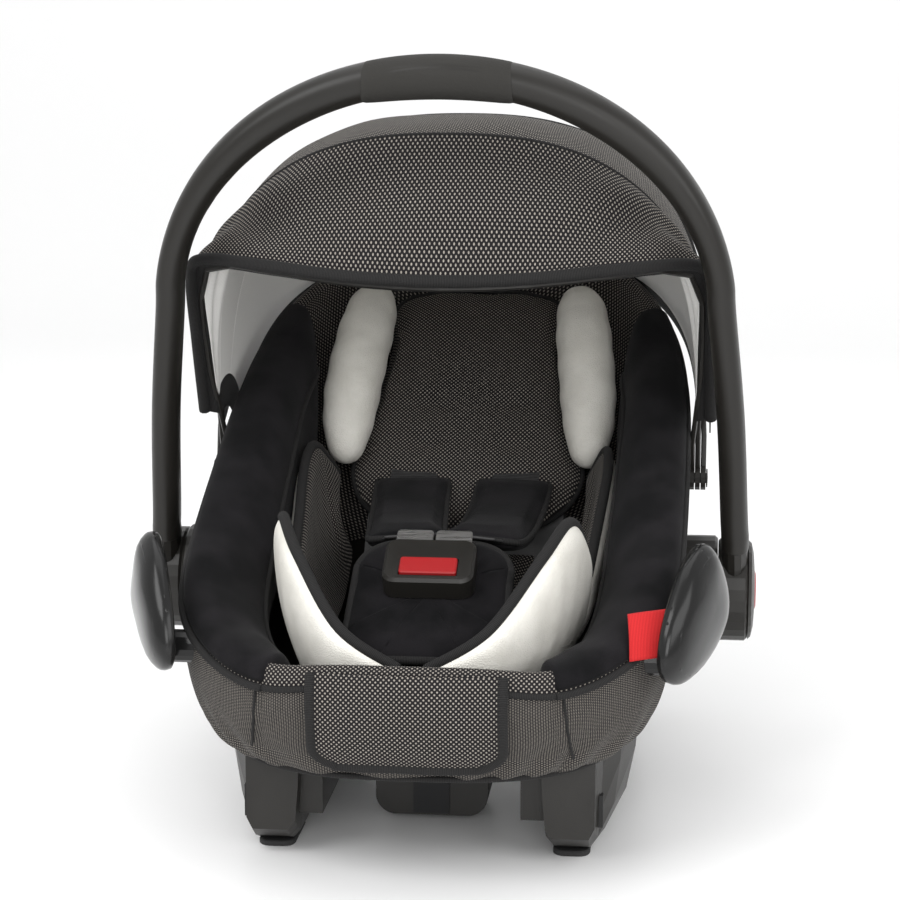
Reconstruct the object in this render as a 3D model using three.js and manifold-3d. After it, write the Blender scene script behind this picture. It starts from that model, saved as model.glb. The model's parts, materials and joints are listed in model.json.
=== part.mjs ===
// Infant car seat (group 0+ carrier) with a swinging carry handle, a three-hoop folding canopy,
// a padded liner with a newborn insert, and a five-part harness with a push-button buckle.
//
// Millimetres, +Z up, +Y towards the head end, X across. Everything is built in seat coordinates
// and the whole seat is then centred over the middle of its box, standing on Z = 0.

import * as THREE from 'three';
import { mergeVertices } from 'three/addons/utils/BufferGeometryUtils.js';
import Module from 'manifold-3d';

const wasm = await Module();
wasm.setup();

// ---------------------------------------------------------------- driving dimensions

const GAP = 0.3;                       // air between touching pieces
const HUB = { y: -21, z: 142 };        // handle axis
const CANOPY = { y: 35, z: 213 };      // canopy axis

const BOWL = {
  halfWidth: 170,                      // at the rim
  baseHalfWidth: 128,                  // at the bottom edge
  rimFront: { y: -296, z: 124 },
  rimRear: { y: 262, z: 348 },
  baseFront: { y: -282, z: 82 },
  baseRear: { y: 90, z: 78 },
  backBulge: 22,
  crown: 8,                            // the belly hangs this much below its edge
  power: 3,                            // superellipse exponent of the plan
};
const FRONT_ROLL = { height: 14, halfWidth: 78, reach: 120 };
const COVER = { skirtEnd: 0.93, thick: 3.5, rimHeight: 14, liningInset: 17, liningEnd: 0.75 };
const SHELL = { inset: 7, wall: 4, top: 0.05 };

const HANDLE = {
  lean: 10.5,                          // degrees forward of upright
  legBottom: 22,                       // distance of the rounded leg end above the axis
  legX: 206.5,
  shoulder: { x: 194, h: 214 },        // where the straight legs meet the arch
  archRise: 168,
  legForward: 15,                      // the legs stand this far in front of the axis
  width: 19,
  topWidth: 25,
  depth: 31,
  gripHalf: 51,
  gripDepth: 4,                        // the core is this much thinner inside the grip
};
const HUB_DISC = { r: 37, from: 195, to: 216.4, boreR: 6.9, pocketR: 24, pocketFrom: 203 };
const HOUSING = { r: 39, neckR: 30, neckFrom: 150, from: 169, to: 194.5, pocketR: 26, pocketTo: 178 };

const HOOD = { halfWidth: 187.5, radius: 270, thick: 2, startAngle: 3, powerX: 2.5, powerR: 3.5 };
const HOOD_ANGLES = { mid: 72.5, rear: 103, shell: 144.5, seam: 0.35 };

// The belt guides are turned out this far; each stands on a neck low on its leaf.
const GUIDE = { x: 180, y: -206, z: 171, turn: 21 };
const GUIDE_NECK = { r: 11, y: -222, z: 143, hole: 12 };

const SOLE = 4;                        // thickness of the rubber foot pads
const RUNNER = { x: 100, half: 16.5, front: -224, back: 186, flatTo: 80, tailRadius: 110 };

const BACK_ANGLE = 45;                 // slope of the back rest, degrees
const BACK_FOOT = { y: 60, z: 170 };   // lower end of the back rest's surface
const LAP_ANGLE = 28;                  // slope of the crotch pad and the buckle, degrees

const COLOURS = {
  plastic: { color: 0x3b3935, roughness: 0.5, metalness: 0 },
  gloss: { color: 0x2b2a27, roughness: 0.22, metalness: 0 },
  rubber: { color: 0x1b1b1b, roughness: 0.85, metalness: 0 },
  red: { color: 0xc0282a, roughness: 0.4, metalness: 0 },
  steel: { color: 0xb8babd, roughness: 0.35, metalness: 1 },
  dotted: { color: 0x66625e, roughness: 0.95, metalness: 0 },
  suede: { color: 0x17171a, roughness: 1, metalness: 0 },
  cream: { color: 0xe2e0d6, roughness: 0.6, metalness: 0 },
  webbing: { color: 0x1f1f21, roughness: 0.8, metalness: 0 },
  foam: { color: 0xf1f1ee, roughness: 0.9, metalness: 0 },
};

// ---------------------------------------------------------------- small helpers

const V = (x, y, z) => new THREE.Vector3(x, y, z);
const rad = THREE.MathUtils.degToRad;
const lerp = THREE.MathUtils.lerp;
const signedPow = (value, power) => Math.sign(value) * Math.abs(value) ** power;
const seat = new THREE.Group();

function add(name, finish, geometry, parent = seat) {
  const mesh = new THREE.Mesh(geometry, new THREE.MeshStandardMaterial(COLOURS[finish]));
  mesh.name = name;
  parent.add(mesh);
  return mesh;
}

// Adds a right-hand piece and its mirror image.
function pair(name, finish, geometry, parent = seat) {
  add(`${name}_right`, finish, geometry, parent);
  add(`${name}_left`, finish, mirrorX(geometry), parent);
}

function signedVolume(geometry) {
  const p = geometry.attributes.position;
  const index = geometry.index.array;
  const corner = [V(), V(), V()];
  let sum = 0;
  for (let i = 0; i < index.length; i += 3) {
    corner.forEach((c, k) => c.fromBufferAttribute(p, index[i + k]));
    sum += corner[0].dot(corner[1].cross(corner[2])) / 6;
  }
  return sum;
}

// Position-only, welded, with its faces pointing out.
function solid(geometry) {
  const plain = geometry.clone();
  plain.deleteAttribute('normal');
  plain.deleteAttribute('uv');
  const welded = mergeVertices(plain, 1e-3);
  const kept = [];
  const index = welded.index.array;
  for (let i = 0; i < index.length; i += 3) {
    const [a, b, c] = [index[i], index[i + 1], index[i + 2]];
    if (a !== b && b !== c && c !== a) kept.push(a, b, c);
  }
  welded.setIndex(kept);
  if (signedVolume(welded) < 0) welded.setIndex(kept.reverse());
  welded.computeVertexNormals();
  return welded;
}

function toManifold(geometry) {
  const g = solid(geometry);
  return new wasm.Manifold(new wasm.Mesh({
    numProp: 3,
    vertProperties: new Float32Array(g.attributes.position.array),
    triVerts: new Uint32Array(g.index.array),
  }));
}

function fromManifold(body) {
  const mesh = body.getMesh();
  const geometry = new THREE.BufferGeometry();
  geometry.setAttribute('position', new THREE.BufferAttribute(mesh.vertProperties, 3));
  geometry.setIndex(new THREE.BufferAttribute(mesh.triVerts, 1));
  return solid(geometry);
}

const cut = (body, ...tools) => fromManifold(
  tools.reduce((left, tool) => left.subtract(toManifold(tool)), toManifold(body)),
);

const join = (...bodies) => fromManifold(
  bodies.slice(1).reduce((sum, body) => sum.add(toManifold(body)), toManifold(bodies[0])),
);

function mirrorX(geometry) {
  return solid(geometry.clone().applyMatrix4(new THREE.Matrix4().makeScale(-1, 1, 1)));
}

// A closed solid through rings of equal length. The ends are fanned to their middles, or the
// last ring is joined to the first.
function loft(rings, ringed = false) {
  const n = rings[0].length;
  const points = rings.flat();
  const index = [];
  const spans = ringed ? rings.length : rings.length - 1;
  for (let row = 0; row < spans; row += 1) {
    const base = row * n;
    const next = ((row + 1) % rings.length) * n;
    for (let i = 0; i < n; i += 1) {
      const j = (i + 1) % n;
      index.push(base + i, base + j, next + j, base + i, next + j, next + i);
    }
  }
  if (!ringed) {
    const last = (rings.length - 1) * n;
    const middles = [rings[0], rings[rings.length - 1]].map((ring) => ring
      .reduce((sum, p) => sum.add(p), V(0, 0, 0)).divideScalar(n));
    for (let i = 0; i < n; i += 1) {
      const j = (i + 1) % n;
      index.push(points.length, j, i, points.length + 1, last + i, last + j);
    }
    points.push(...middles);
  }
  const geometry = new THREE.BufferGeometry().setFromPoints(points);
  geometry.setIndex(index);
  return solid(geometry);
}

// A closed sheet: at(u, v, face) gives its outer (face 0) and inner (face 1) points.
function sheet(at, alongU, alongV) {
  const points = [];
  const index = [];
  for (let face = 0; face < 2; face += 1) {
    for (let i = 0; i <= alongU; i += 1) {
      for (let j = 0; j <= alongV; j += 1) points.push(at(i / alongU, j / alongV, face));
    }
  }
  const id = (face, i, j) => (face * (alongU + 1) + i) * (alongV + 1) + j;
  const quad = (a, b, c, d) => index.push(a, b, c, a, c, d);
  for (let i = 0; i < alongU; i += 1) {
    for (let j = 0; j < alongV; j += 1) {
      quad(id(0, i, j), id(0, i + 1, j), id(0, i + 1, j + 1), id(0, i, j + 1));
      quad(id(1, i, j), id(1, i, j + 1), id(1, i + 1, j + 1), id(1, i + 1, j));
    }
    quad(id(0, i, 0), id(1, i, 0), id(1, i + 1, 0), id(0, i + 1, 0));
    quad(id(0, i, alongV), id(0, i + 1, alongV), id(1, i + 1, alongV), id(1, i, alongV));
  }
  for (let j = 0; j < alongV; j += 1) {
    quad(id(0, 0, j), id(0, 0, j + 1), id(1, 0, j + 1), id(1, 0, j));
    quad(id(0, alongU, j), id(1, alongU, j), id(1, alongU, j + 1), id(0, alongU, j + 1));
  }
  const geometry = new THREE.BufferGeometry().setFromPoints(points);
  geometry.setIndex(index);
  return solid(geometry);
}

// Oval rings along a path that lies in a plane spanned by the unit vectors across and up.
function planarRings(path, plane, size, sides) {
  const out = V().crossVectors(plane.across, plane.up);
  const place = (p) => plane.origin.clone()
    .addScaledVector(plane.across, p.x).addScaledVector(plane.up, p.y);
  return path.map((p, i) => {
    const before = path[Math.max(i - 1, 0)];
    const after = path[Math.min(i + 1, path.length - 1)];
    const tangent = after.clone().sub(before).normalize();
    const side = plane.across.clone().multiplyScalar(-tangent.y)
      .addScaledVector(plane.up, tangent.x);
    const { width, depth } = size(p, i);
    return Array.from({ length: sides }, (_, k) => {
      const a = (k / sides) * 2 * Math.PI;
      return place(p).addScaledVector(side, (Math.cos(a) * width) / 2)
        .addScaledVector(out, (Math.sin(a) * depth) / 2);
    });
  });
}

// A flat strap along 3-D points, its width lying along X.
function strap(points, width, thick) {
  const curve = new THREE.CatmullRomCurve3(points.map((p) => V(...p)));
  const steps = points.length * 3;
  const rings = curve.getSpacedPoints(steps).map((p, i) => {
    const normal = V().crossVectors(curve.getTangentAt(i / steps), V(1, 0, 0)).normalize();
    const corner = (sx, sn) => p.clone().add(V((sx * width) / 2, 0, 0))
      .addScaledVector(normal, (sn * thick) / 2);
    return [corner(-1, -1), corner(1, -1), corner(1, 1), corner(-1, 1)];
  });
  return loft(rings);
}

function roundedRect(width, height, radius) {
  const [w, h] = [width / 2, height / 2];
  const shape = new THREE.Shape();
  shape.moveTo(-w + radius, -h);
  shape.lineTo(w - radius, -h);
  shape.absarc(w - radius, -h + radius, radius, -Math.PI / 2, 0);
  shape.lineTo(w, h - radius);
  shape.absarc(w - radius, h - radius, radius, 0, Math.PI / 2);
  shape.lineTo(-w + radius, h);
  shape.absarc(-w + radius, h - radius, radius, Math.PI / 2, Math.PI);
  shape.lineTo(-w, -h + radius);
  shape.absarc(-w + radius, -h + radius, radius, Math.PI, 1.5 * Math.PI);
  return shape;
}

// A slab with softened edges, its thickness along Z from 0 to thick.
function slab(shape, thick, bevel = 1, curveSegments = 4) {
  const geometry = new THREE.ExtrudeGeometry(shape, {
    depth: thick - 2 * bevel,
    bevelThickness: bevel,
    bevelSize: bevel,
    bevelOffset: -bevel,
    bevelSegments: 1,
    bevelEnabled: bevel > 0,
    curveSegments,
  });
  return geometry.translate(0, 0, bevel);
}

// A turned piece on an axis parallel to X through the point (y, z); profile is [radius, x].
function turned(profile, y, z, segments = 18) {
  const points = profile.map(([r, x]) => new THREE.Vector2(r, x));
  return solid(new THREE.LatheGeometry(points, segments).rotateZ(-Math.PI / 2).translate(0, y, z));
}

const discX = (r, from, to, y, z, segments = 18) => (
  turned([[0, from], [r, from], [r, to], [0, to]], y, z, segments)
);

// ---------------------------------------------------------------- bowl: shell and cover

// The front lip rises in a soft roll between the two side lobes.
function frontRoll(x, y) {
  const across = Math.exp(-((x / FRONT_ROLL.halfWidth) ** 4));
  const along = THREE.MathUtils.clamp((BOWL.rimFront.y + FRONT_ROLL.reach - y) / FRONT_ROLL.reach, 0, 1);
  return FRONT_ROLL.height * across * along;
}

// A point of the bowl. level 0 is the rim, 1 the bottom edge and 2 the middle of the belly.
function bowl(level, angle, inset = 0, lift = 0) {
  const t = Math.min(level, 1);
  const yFront = lerp(BOWL.rimFront.y, BOWL.baseFront.y, t * t) + inset;
  const yRear = lerp(BOWL.rimRear.y, BOWL.baseRear.y, t) + BOWL.backBulge * Math.sin(Math.PI * t) - inset;
  const zFront = lerp(BOWL.rimFront.z, BOWL.baseFront.z, t);
  const zRear = lerp(BOWL.rimRear.z, BOWL.baseRear.z, t);
  const wide = lerp(BOWL.baseHalfWidth, BOWL.halfWidth, Math.sqrt(1 - t * t)) - inset;
  const shrink = level > 1 ? 2 - level : 1;
  const x = wide * shrink * signedPow(Math.cos(angle), 2 / BOWL.power);
  const reach = ((yRear - yFront) / 2) * shrink;
  const y = (yFront + yRear) / 2 + reach * signedPow(Math.sin(angle), 2 / BOWL.power);
  const slope = (zRear - zFront) / (yRear - yFront);
  const belly = level > 1 ? BOWL.crown * (1 - shrink * shrink) : 0;
  const roll = frontRoll(x, y) * (1 - t);
  return V(x, y, zFront + slope * (y - yFront) + roll - belly + lift);
}

const AROUND = 32;

function bowlRing(level, inset, lift = 0) {
  return Array.from({ length: AROUND }, (_, k) => bowl(level, (k / AROUND) * 2 * Math.PI, inset, lift));
}

// A solid plug of the bowl's outer form, used to fit other pieces against it.
function bowlPlug(inset, lift) {
  const levels = [0, 0.25, 0.5, 0.7, 0.85, 0.95, 1, 1.3, 1.6, 1.9];
  return loft(levels.map((level) => bowlRing(level, inset, lift)));
}

function seatShell() {
  const walls = [SHELL.top, 0.25, 0.5, 0.75, 0.93, 1];
  const belly = [1.4, 1.8];
  const outer = [...walls, ...belly].map((level) => bowlRing(level, SHELL.inset));
  const inner = [...walls, ...belly].map((level) => (
    bowlRing(level, SHELL.inset + SHELL.wall, level >= 1 ? SHELL.wall : 0)
  ));
  return loft([...inner.reverse(), ...outer]);
}

function seatCover() {
  const skirt = [COVER.skirtEnd, 0.75, 0.5, 0.25, 0];
  const lining = [0, 0.25, 0.5, COVER.liningEnd];
  const top = COVER.rimHeight;
  const deep = COVER.thick;
  const outside = [
    ...skirt.map((level) => bowlRing(level, 0)),
    bowlRing(0, 2, top * 0.6),
    bowlRing(0, 8, top),
    bowlRing(0, COVER.liningInset - 6, top),
    ...lining.map((level) => bowlRing(level, COVER.liningInset)),
  ];
  const inside = [
    ...skirt.map((level) => bowlRing(level, deep)),
    bowlRing(0, 9, top - deep),
    bowlRing(0, COVER.liningInset - 7, top - deep),
    ...lining.map((level) => bowlRing(level, COVER.liningInset - deep)),
  ];
  return loft([...outside, ...inside.reverse()], true);
}

// ---------------------------------------------------------------- base

function runnerSection(y) {
  const nose = THREE.MathUtils.clamp((y - RUNNER.front) / 30, 0, 1);
  const flare = THREE.MathUtils.smoothstep(y, RUNNER.front + 8, RUNNER.front + 70);
  const tail = Math.max(0, y - RUNNER.flatTo);
  const curl = RUNNER.tailRadius - Math.sqrt(RUNNER.tailRadius ** 2 - tail ** 2);
  const bottom = SOLE + GAP + 14 * (1 - Math.sin((nose * Math.PI) / 2)) + curl;
  const rise = 60 * THREE.MathUtils.smoothstep(y, 60, RUNNER.back);
  const inX = RUNNER.x - RUNNER.half;
  const outX = RUNNER.x + RUNNER.half;
  const outer = [[8, 8], [26, 18], [56, 24], [92 + rise, 27]];
  const side = outer.map(([up, out]) => V(outX + out * flare, y, bottom + up));
  return [
    V(inX + 5, y, bottom),
    V(outX - 4, y, bottom),
    ...side,
    V(inX - 4, y, bottom + 92 + rise),
    V(inX - 2, y, bottom + 30),
    V(inX, y, bottom + 6),
  ];
}

function runnerBody() {
  const steps = [0, 4, 12, 24, 44, 78, 190, 304, 334, 362, 384, 399, 410];
  const rib = new THREE.BoxGeometry(22, 150, 60).translate(RUNNER.x - RUNNER.half - 6, -138, 57);
  const blank = join(loft(steps.map((d) => runnerSection(RUNNER.front + d))), rib);
  return cut(blank, bowlPlug(-0.4, -0.4));
}

function addBase() {
  const plugPlace = [RUNNER.x + RUNNER.half + 1.5, RUNNER.front + 22, 32];
  const plug = new THREE.BoxGeometry(6, 7, 22).translate(...plugPlace);
  const pocket = new THREE.BoxGeometry(6 + 2 * GAP, 7 + 2 * GAP, 22 + 2 * GAP).translate(...plugPlace);
  pair('rocker_runner', 'plastic', cut(runnerBody(), pocket));
  pair('runner_plug', 'rubber', solid(plug));
  const padShape = roundedRect(25, 56, 8);
  [['front', RUNNER.front + 46], ['rear', RUNNER.flatTo - 30]].forEach(([end, y]) => {
    pair(`${end}_foot_pad`, 'rubber', solid(slab(padShape, SOLE, 0.8, 2).translate(RUNNER.x, y, 0)));
  });
  const belly = new THREE.ExtrudeGeometry(roundedRect(78, 90, 14), { depth: 80, bevelEnabled: false });
  belly.rotateX(Math.PI / 2).translate(0, -70, 52);
  add('belly_housing', 'plastic', cut(belly, bowlPlug(-0.4, -0.4)));
}

// ---------------------------------------------------------------- handle and its hubs

const leanUp = V(0, -Math.sin(rad(HANDLE.lean)), Math.cos(rad(HANDLE.lean)));
const leanOut = V().crossVectors(V(1, 0, 0), leanUp);
const handlePlane = {
  origin: V(0, HUB.y, HUB.z).addScaledVector(leanOut, HANDLE.legForward),
  across: V(1, 0, 0),
  up: leanUp,
};
const gripAngle = Math.acos(HANDLE.gripHalf / HANDLE.shoulder.x);

function archPoint(angle, drop = 0) {
  const { x, h } = HANDLE.shoulder;
  return new THREE.Vector2(x * Math.cos(angle), h + (HANDLE.archRise - drop) * Math.sin(angle));
}

function between(from, to, steps) {
  return Array.from({ length: steps + 1 }, (_, i) => lerp(from, to, i / steps));
}

// Angles across the grip, with a short first and last step so that its ends stand square.
function gripAngles(clear) {
  const first = gripAngle + clear;
  const near = first + 0.006;
  return [first, ...between(near, Math.PI - near, 7), Math.PI - first];
}

function handlePath() {
  const { legX, legBottom: low, shoulder } = HANDLE;
  const curve = new THREE.CatmullRomCurve3([
    V(legX, low + 6, 0), V(legX - 1, 62, 0), V(legX - 5, 138, 0), V(shoulder.x, shoulder.h, 0),
  ]);
  const leg = curve.getPoints(6).map((p) => new THREE.Vector2(p.x, p.y));
  const end = [low - 9, low - 7, low - 2].map((h) => new THREE.Vector2(legX, h));
  const arch = [...between(0, gripAngle - 0.006, 9).slice(1), gripAngle].map((a) => archPoint(a));
  const side = [...end, ...leg, ...arch];
  const top = gripAngles(0.003).map((a) => archPoint(a));
  const other = side.map((p) => new THREE.Vector2(-p.x, p.y)).reverse();
  return [...side, ...top, ...other];
}

// The legs swell towards the top, the leg ends are rounded and the core is thinner in the grip.
function handleSize(p) {
  const top = THREE.MathUtils.smoothstep(p.y, 250, 370);
  const inGrip = p.y > HANDLE.shoulder.h && Math.abs(p.x) < HANDLE.gripHalf - 0.2;
  const less = inGrip ? 2 * HANDLE.gripDepth : 0;
  const up = THREE.MathUtils.clamp((p.y - HANDLE.legBottom + 9.4) / 15, 0, 1);
  const round = Math.sqrt(1 - (1 - up) ** 2);
  return {
    width: (lerp(HANDLE.width, HANDLE.topWidth, top) - less) * round,
    depth: (HANDLE.depth - less) * round,
  };
}

function handleBar() {
  const tube = loft(planarRings(handlePath(), handlePlane, handleSize, 12));
  const { r, from, to, boreR, pocketR, pocketFrom } = HUB_DISC;
  const disc = turned([[0, from], [r - 1.5, from], [r, from + 1.5], [r, to - 2], [r - 2, to], [0, to]],
    HUB.y, HUB.z, 28);
  const bore = discX(boreR, from - 5, to, HUB.y, HUB.z);
  const pocket = discX(pocketR, pocketFrom, to + 12, HUB.y, HUB.z, 20);
  return cut(join(tube, disc, mirrorX(disc)), bore, pocket, mirrorX(bore), mirrorX(pocket));
}

function handleGrip() {
  const angles = gripAngles(0.01);
  const bulge = (x) => Math.cos((Math.PI * x) / (2 * HANDLE.gripHalf)) ** 0.5 * 4;
  const outer = planarRings(
    angles.map((a) => archPoint(a, bulge(archPoint(a).x) / 2)),
    handlePlane,
    (p) => ({ width: HANDLE.topWidth + bulge(p.x), depth: HANDLE.depth + 1 }),
    12,
  );
  const inner = planarRings(angles.map((a) => archPoint(a)), handlePlane, () => ({
    width: HANDLE.topWidth - 2 * HANDLE.gripDepth + 2 * GAP,
    depth: HANDLE.depth - 2 * HANDLE.gripDepth + 2 * GAP,
  }), 12);
  return loft([...outer, ...inner.reverse()], true);
}

function hubHousing() {
  const { r, neckR, neckFrom, from, to, pocketR, pocketTo } = HOUSING;
  const ring = turned([
    [neckR, neckFrom], [neckR, from], [r, from + 2], [r, to - 2], [r - 2, to],
    [HUB_DISC.boreR, to], [HUB_DISC.boreR, pocketTo], [pocketR, pocketTo],
    [pocketR, neckFrom], [neckR, neckFrom],
  ], HUB.y, HUB.z, 26);
  return cut(ring, bowlPlug(SHELL.inset - GAP, 0));
}

class Helix extends THREE.Curve {
  constructor(radius, from, to, turns) {
    super();
    Object.assign(this, { radius, from, to, turns });
  }

  getPoint(t, target = V()) {
    const a = t * this.turns * 2 * Math.PI;
    return target.set(
      lerp(this.from, this.to, t),
      HUB.y + this.radius * Math.cos(a),
      HUB.z + this.radius * Math.sin(a),
    );
  }
}

function rod(curve, radius, steps, sides = 6) {
  const section = new THREE.Shape(between(0, 2 * Math.PI, sides).slice(1)
    .map((a) => new THREE.Vector2(radius * Math.cos(a), radius * Math.sin(a))));
  return solid(new THREE.ExtrudeGeometry(section, {
    extrudePath: curve, steps, bevelEnabled: false,
  }));
}

function lockGear() {
  const teeth = 12;
  const shape = new THREE.Shape(between(0, 2 * Math.PI, teeth * 4).slice(1).map((a, i) => {
    const r = i % 4 < 2 ? 25 : 21.5;
    return new THREE.Vector2(r * Math.cos(a), r * Math.sin(a));
  }));
  return solid(new THREE.ExtrudeGeometry(shape, { depth: 3.7, bevelEnabled: false })
    .rotateY(Math.PI / 2).translate(170.8, HUB.y, HUB.z));
}

function addHandle() {
  add('handle_bar', 'plastic', handleBar());
  add('handle_grip', 'rubber', handleGrip());
  pair('hub_housing', 'plastic', hubHousing());
  pair('handle_hub_cover', 'plastic', turned([
    [15.4, 216.8], [36, 216.8], [34, 219], [27, 220.6], [15.4, 221.4], [15.4, 216.8],
  ], HUB.y, HUB.z, 26));
  pair('release_button', 'red', turned([
    [0, 174.8], [3.6, 174.8], [3.6, 213.4], [20, 213.4], [20, 215.2],
    [14.9, 215.2], [14.9, 221.2], [12, 222.3], [0, 222.6],
  ], HUB.y, HUB.z));
  pair('button_spring', 'steel', rod(new Helix(14, 206.6, 212.1, 3), 0.9, 27, 5));
  pair('lock_gear', 'plastic', lockGear());
  pair('hub_pivot_pin', 'steel', turned([
    [4, 175.2], [10, 175.2], [10, 177.7], [6.5, 177.7], [6.5, 203.3], [10, 203.3], [10, 205],
    [4, 205], [4, 175.2],
  ], HUB.y, HUB.z));
}

// ---------------------------------------------------------------- belt guides

// A domed leaf that stands off the side of the shell in front of each hub.
function beltGuide() {
  const middle = V(GUIDE.x, GUIDE.y, GUIDE.z);
  const turn = rad(GUIDE.turn);
  const along = V(Math.sin(turn), Math.cos(turn), 0);
  const out = V(Math.cos(turn), -Math.sin(turn), 0);
  const outline = new THREE.CatmullRomCurve3([
    [12, 43], [31, 31], [46, 4], [36, -22], [6, -38],
    [-30, -42], [-53, -28], [-50, -5], [-34, 17], [-14, 35],
  ].map(([s, z]) => V(s, z, 0)), true).getPoints(26).slice(1);
  const layers = [[0.9, -6], [0.98, -4.5], [1, -1], [0.97, 3], [0.86, 7.5], [0.6, 11], [0.3, 12.6]];
  const leaf = loft(layers.map(([scale, height]) => outline.map((p) => middle.clone()
    .addScaledVector(along, p.x * scale)
    .addScaledVector(out, height)
    .add(V(0, 0, p.y * scale)))));
  const neck = discX(GUIDE_NECK.r, 130, 176, GUIDE_NECK.y, GUIDE_NECK.z, 16);
  return cut(join(leaf, neck), bowlPlug(SHELL.inset - GAP, 0));
}

// ---------------------------------------------------------------- canopy

function hoodPoint(turn, angle, inset = 0) {
  const r = (HOOD.radius - inset) * Math.sin(turn) ** (2 / HOOD.powerR);
  const x = (HOOD.halfWidth - inset) * signedPow(Math.cos(turn), 2 / HOOD.powerX);
  return V(x, CANOPY.y - r * Math.cos(rad(angle)), CANOPY.z + r * Math.sin(rad(angle)));
}

// The front edge: up from the axis to the corners, then across in a shallow bow.
const visorHalf = [
  [187, 8, 262], [186.5, -18, 318], [185, -41, 366], [173, -59, 382], [122, -88, 381], [62, -104, 376],
];
const visor = new THREE.CatmullRomCurve3([
  ...visorHalf.map((p) => V(...p)), V(0, -109, 374),
  ...visorHalf.map(([x, y, z]) => V(-x, y, z)).reverse(),
]);

const hoodMiddle = V(0, CANOPY.y, 228);
const inward = (p, depth) => p.clone().add(hoodMiddle.clone().sub(p).setLength(depth));
const hoodTurn = (u) => rad(lerp(HOOD.startAngle, 180 - HOOD.startAngle, u));

function frontPanel() {
  return sheet((u, v, face) => {
    const back = hoodPoint(hoodTurn(u), HOOD_ANGLES.mid - HOOD_ANGLES.seam);
    const p = visor.getPointAt(u).lerp(back, v);
    const swell = 5 * Math.sin(Math.PI * v) * Math.sin(Math.PI * u);
    return inward(p, -swell + (face ? HOOD.thick : 0));
  }, 22, 3);
}

function hoodPanel(from, to) {
  return sheet((u, v, face) => inward(hoodPoint(
    hoodTurn(u),
    lerp(from + HOOD_ANGLES.seam, to - HOOD_ANGLES.seam, v),
  ), face ? HOOD.thick : 0), 22, 3);
}

function hoop(points, eyeX) {
  const half = [V(eyeX, CANOPY.y, CANOPY.z), ...points];
  const other = half.map((p) => V(-p.x, p.y, p.z)).reverse();
  const bow = rod(new THREE.CatmullRomCurve3([...half, ...other.slice(1)]), 2, 24);
  const eye = discX(9, eyeX - 1.8, eyeX + 1.8, CANOPY.y, CANOPY.z, 14);
  const bore = discX(4.4, eyeX - 6, eyeX + 6, CANOPY.y, CANOPY.z, 10);
  return cut(join(bow, eye, mirrorX(eye)), bore, mirrorX(bore));
}

function angledHoop(angle, eyeX) {
  const arm = V(eyeX, CANOPY.y - 34 * Math.cos(rad(angle)), CANOPY.z + 34 * Math.sin(rad(angle)));
  const arch = between(12, 90, 9).map((turn) => hoodPoint(rad(turn), angle, 6.6));
  return hoop([arm, ...arch], eyeX);
}

function visorHoop(eyeX) {
  const arm = V(eyeX, 22, 240);
  const rise = [0.06, 0.13, 0.19, 0.235, 0.28, 0.35, 0.42, 0.5];
  return hoop([arm, ...rise.map((u) => inward(visor.getPointAt(u), 7.5))], eyeX);
}

function addCanopy() {
  add('canopy_hoop_front', 'plastic', visorHoop(174.4));
  add('canopy_hoop_mid', 'plastic', angledHoop(HOOD_ANGLES.mid, 178.6));
  add('canopy_hoop_rear', 'plastic', angledHoop(HOOD_ANGLES.rear, 182.8));
  add('canopy_front_panel', 'dotted', frontPanel());
  add('canopy_mid_panel', 'dotted', hoodPanel(HOOD_ANGLES.mid, HOOD_ANGLES.rear));
  add('canopy_rear_panel', 'suede', hoodPanel(HOOD_ANGLES.rear, HOOD_ANGLES.shell));
  const pivot = turned([
    [0, 140], [9, 140], [9, 171], [13, 171.2], [13, 172.1], [4, 172.1], [4, 185], [7, 185],
    [7, 186], [0, 186.4],
  ], CANOPY.y, CANOPY.z, 14);
  pair('canopy_pivot', 'plastic', cut(pivot, bowlPlug(SHELL.inset - GAP, 0)));
}

// ---------------------------------------------------------------- liner and newborn insert

function foamLiner() {
  const outline = [
    [-236, 90], [55, 90], [75, 107], [100, 137], [140, 184], [176, 240], [184, 262],
    [182, 265], [66, 149], [30, 104], [-60, 97], [-236, 98],
  ];
  return acrossX(outline, 76);
}

// A profile in the Y-Z plane, run from -halfWidth to +halfWidth.
function acrossX(outline, halfWidth) {
  const shape = new THREE.Shape(outline.map(([y, z]) => new THREE.Vector2(y, z)));
  const block = new THREE.ExtrudeGeometry(shape, { depth: 2 * halfWidth, bevelEnabled: false });
  return solid(block.applyMatrix4(new THREE.Matrix4().set(
    0, 0, 1, -halfWidth,
    1, 0, 0, 0,
    0, 1, 0, 0,
    0, 0, 0, 1,
  )));
}

function sideBolster() {
  const stations = between(-1.12, 0.55, 14);
  const from = COVER.liningInset + 3;
  return loft(stations.map((s, i) => {
    const end = Math.min(i, 14 - i) / 2;
    const fill = end < 1 ? 0.45 + 0.55 * Math.sqrt(1 - (1 - end) ** 2) : 1;
    const thick = lerp(30, 22, THREE.MathUtils.smoothstep(s, -0.2, 0.4)) * fill;
    return [
      bowl(0, s, from), bowl(0, s, from + thick * 0.3, 9), bowl(0, s, from + thick * 0.75, 4),
      bowl(0.12, s, from + thick), bowl(0.35, s, from + thick), bowl(0.55, s, from + thick * 0.8),
      bowl(0.58, s, from + thick * 0.3), bowl(0.5, s, from), bowl(0.25, s, from),
    ];
  }));
}

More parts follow.
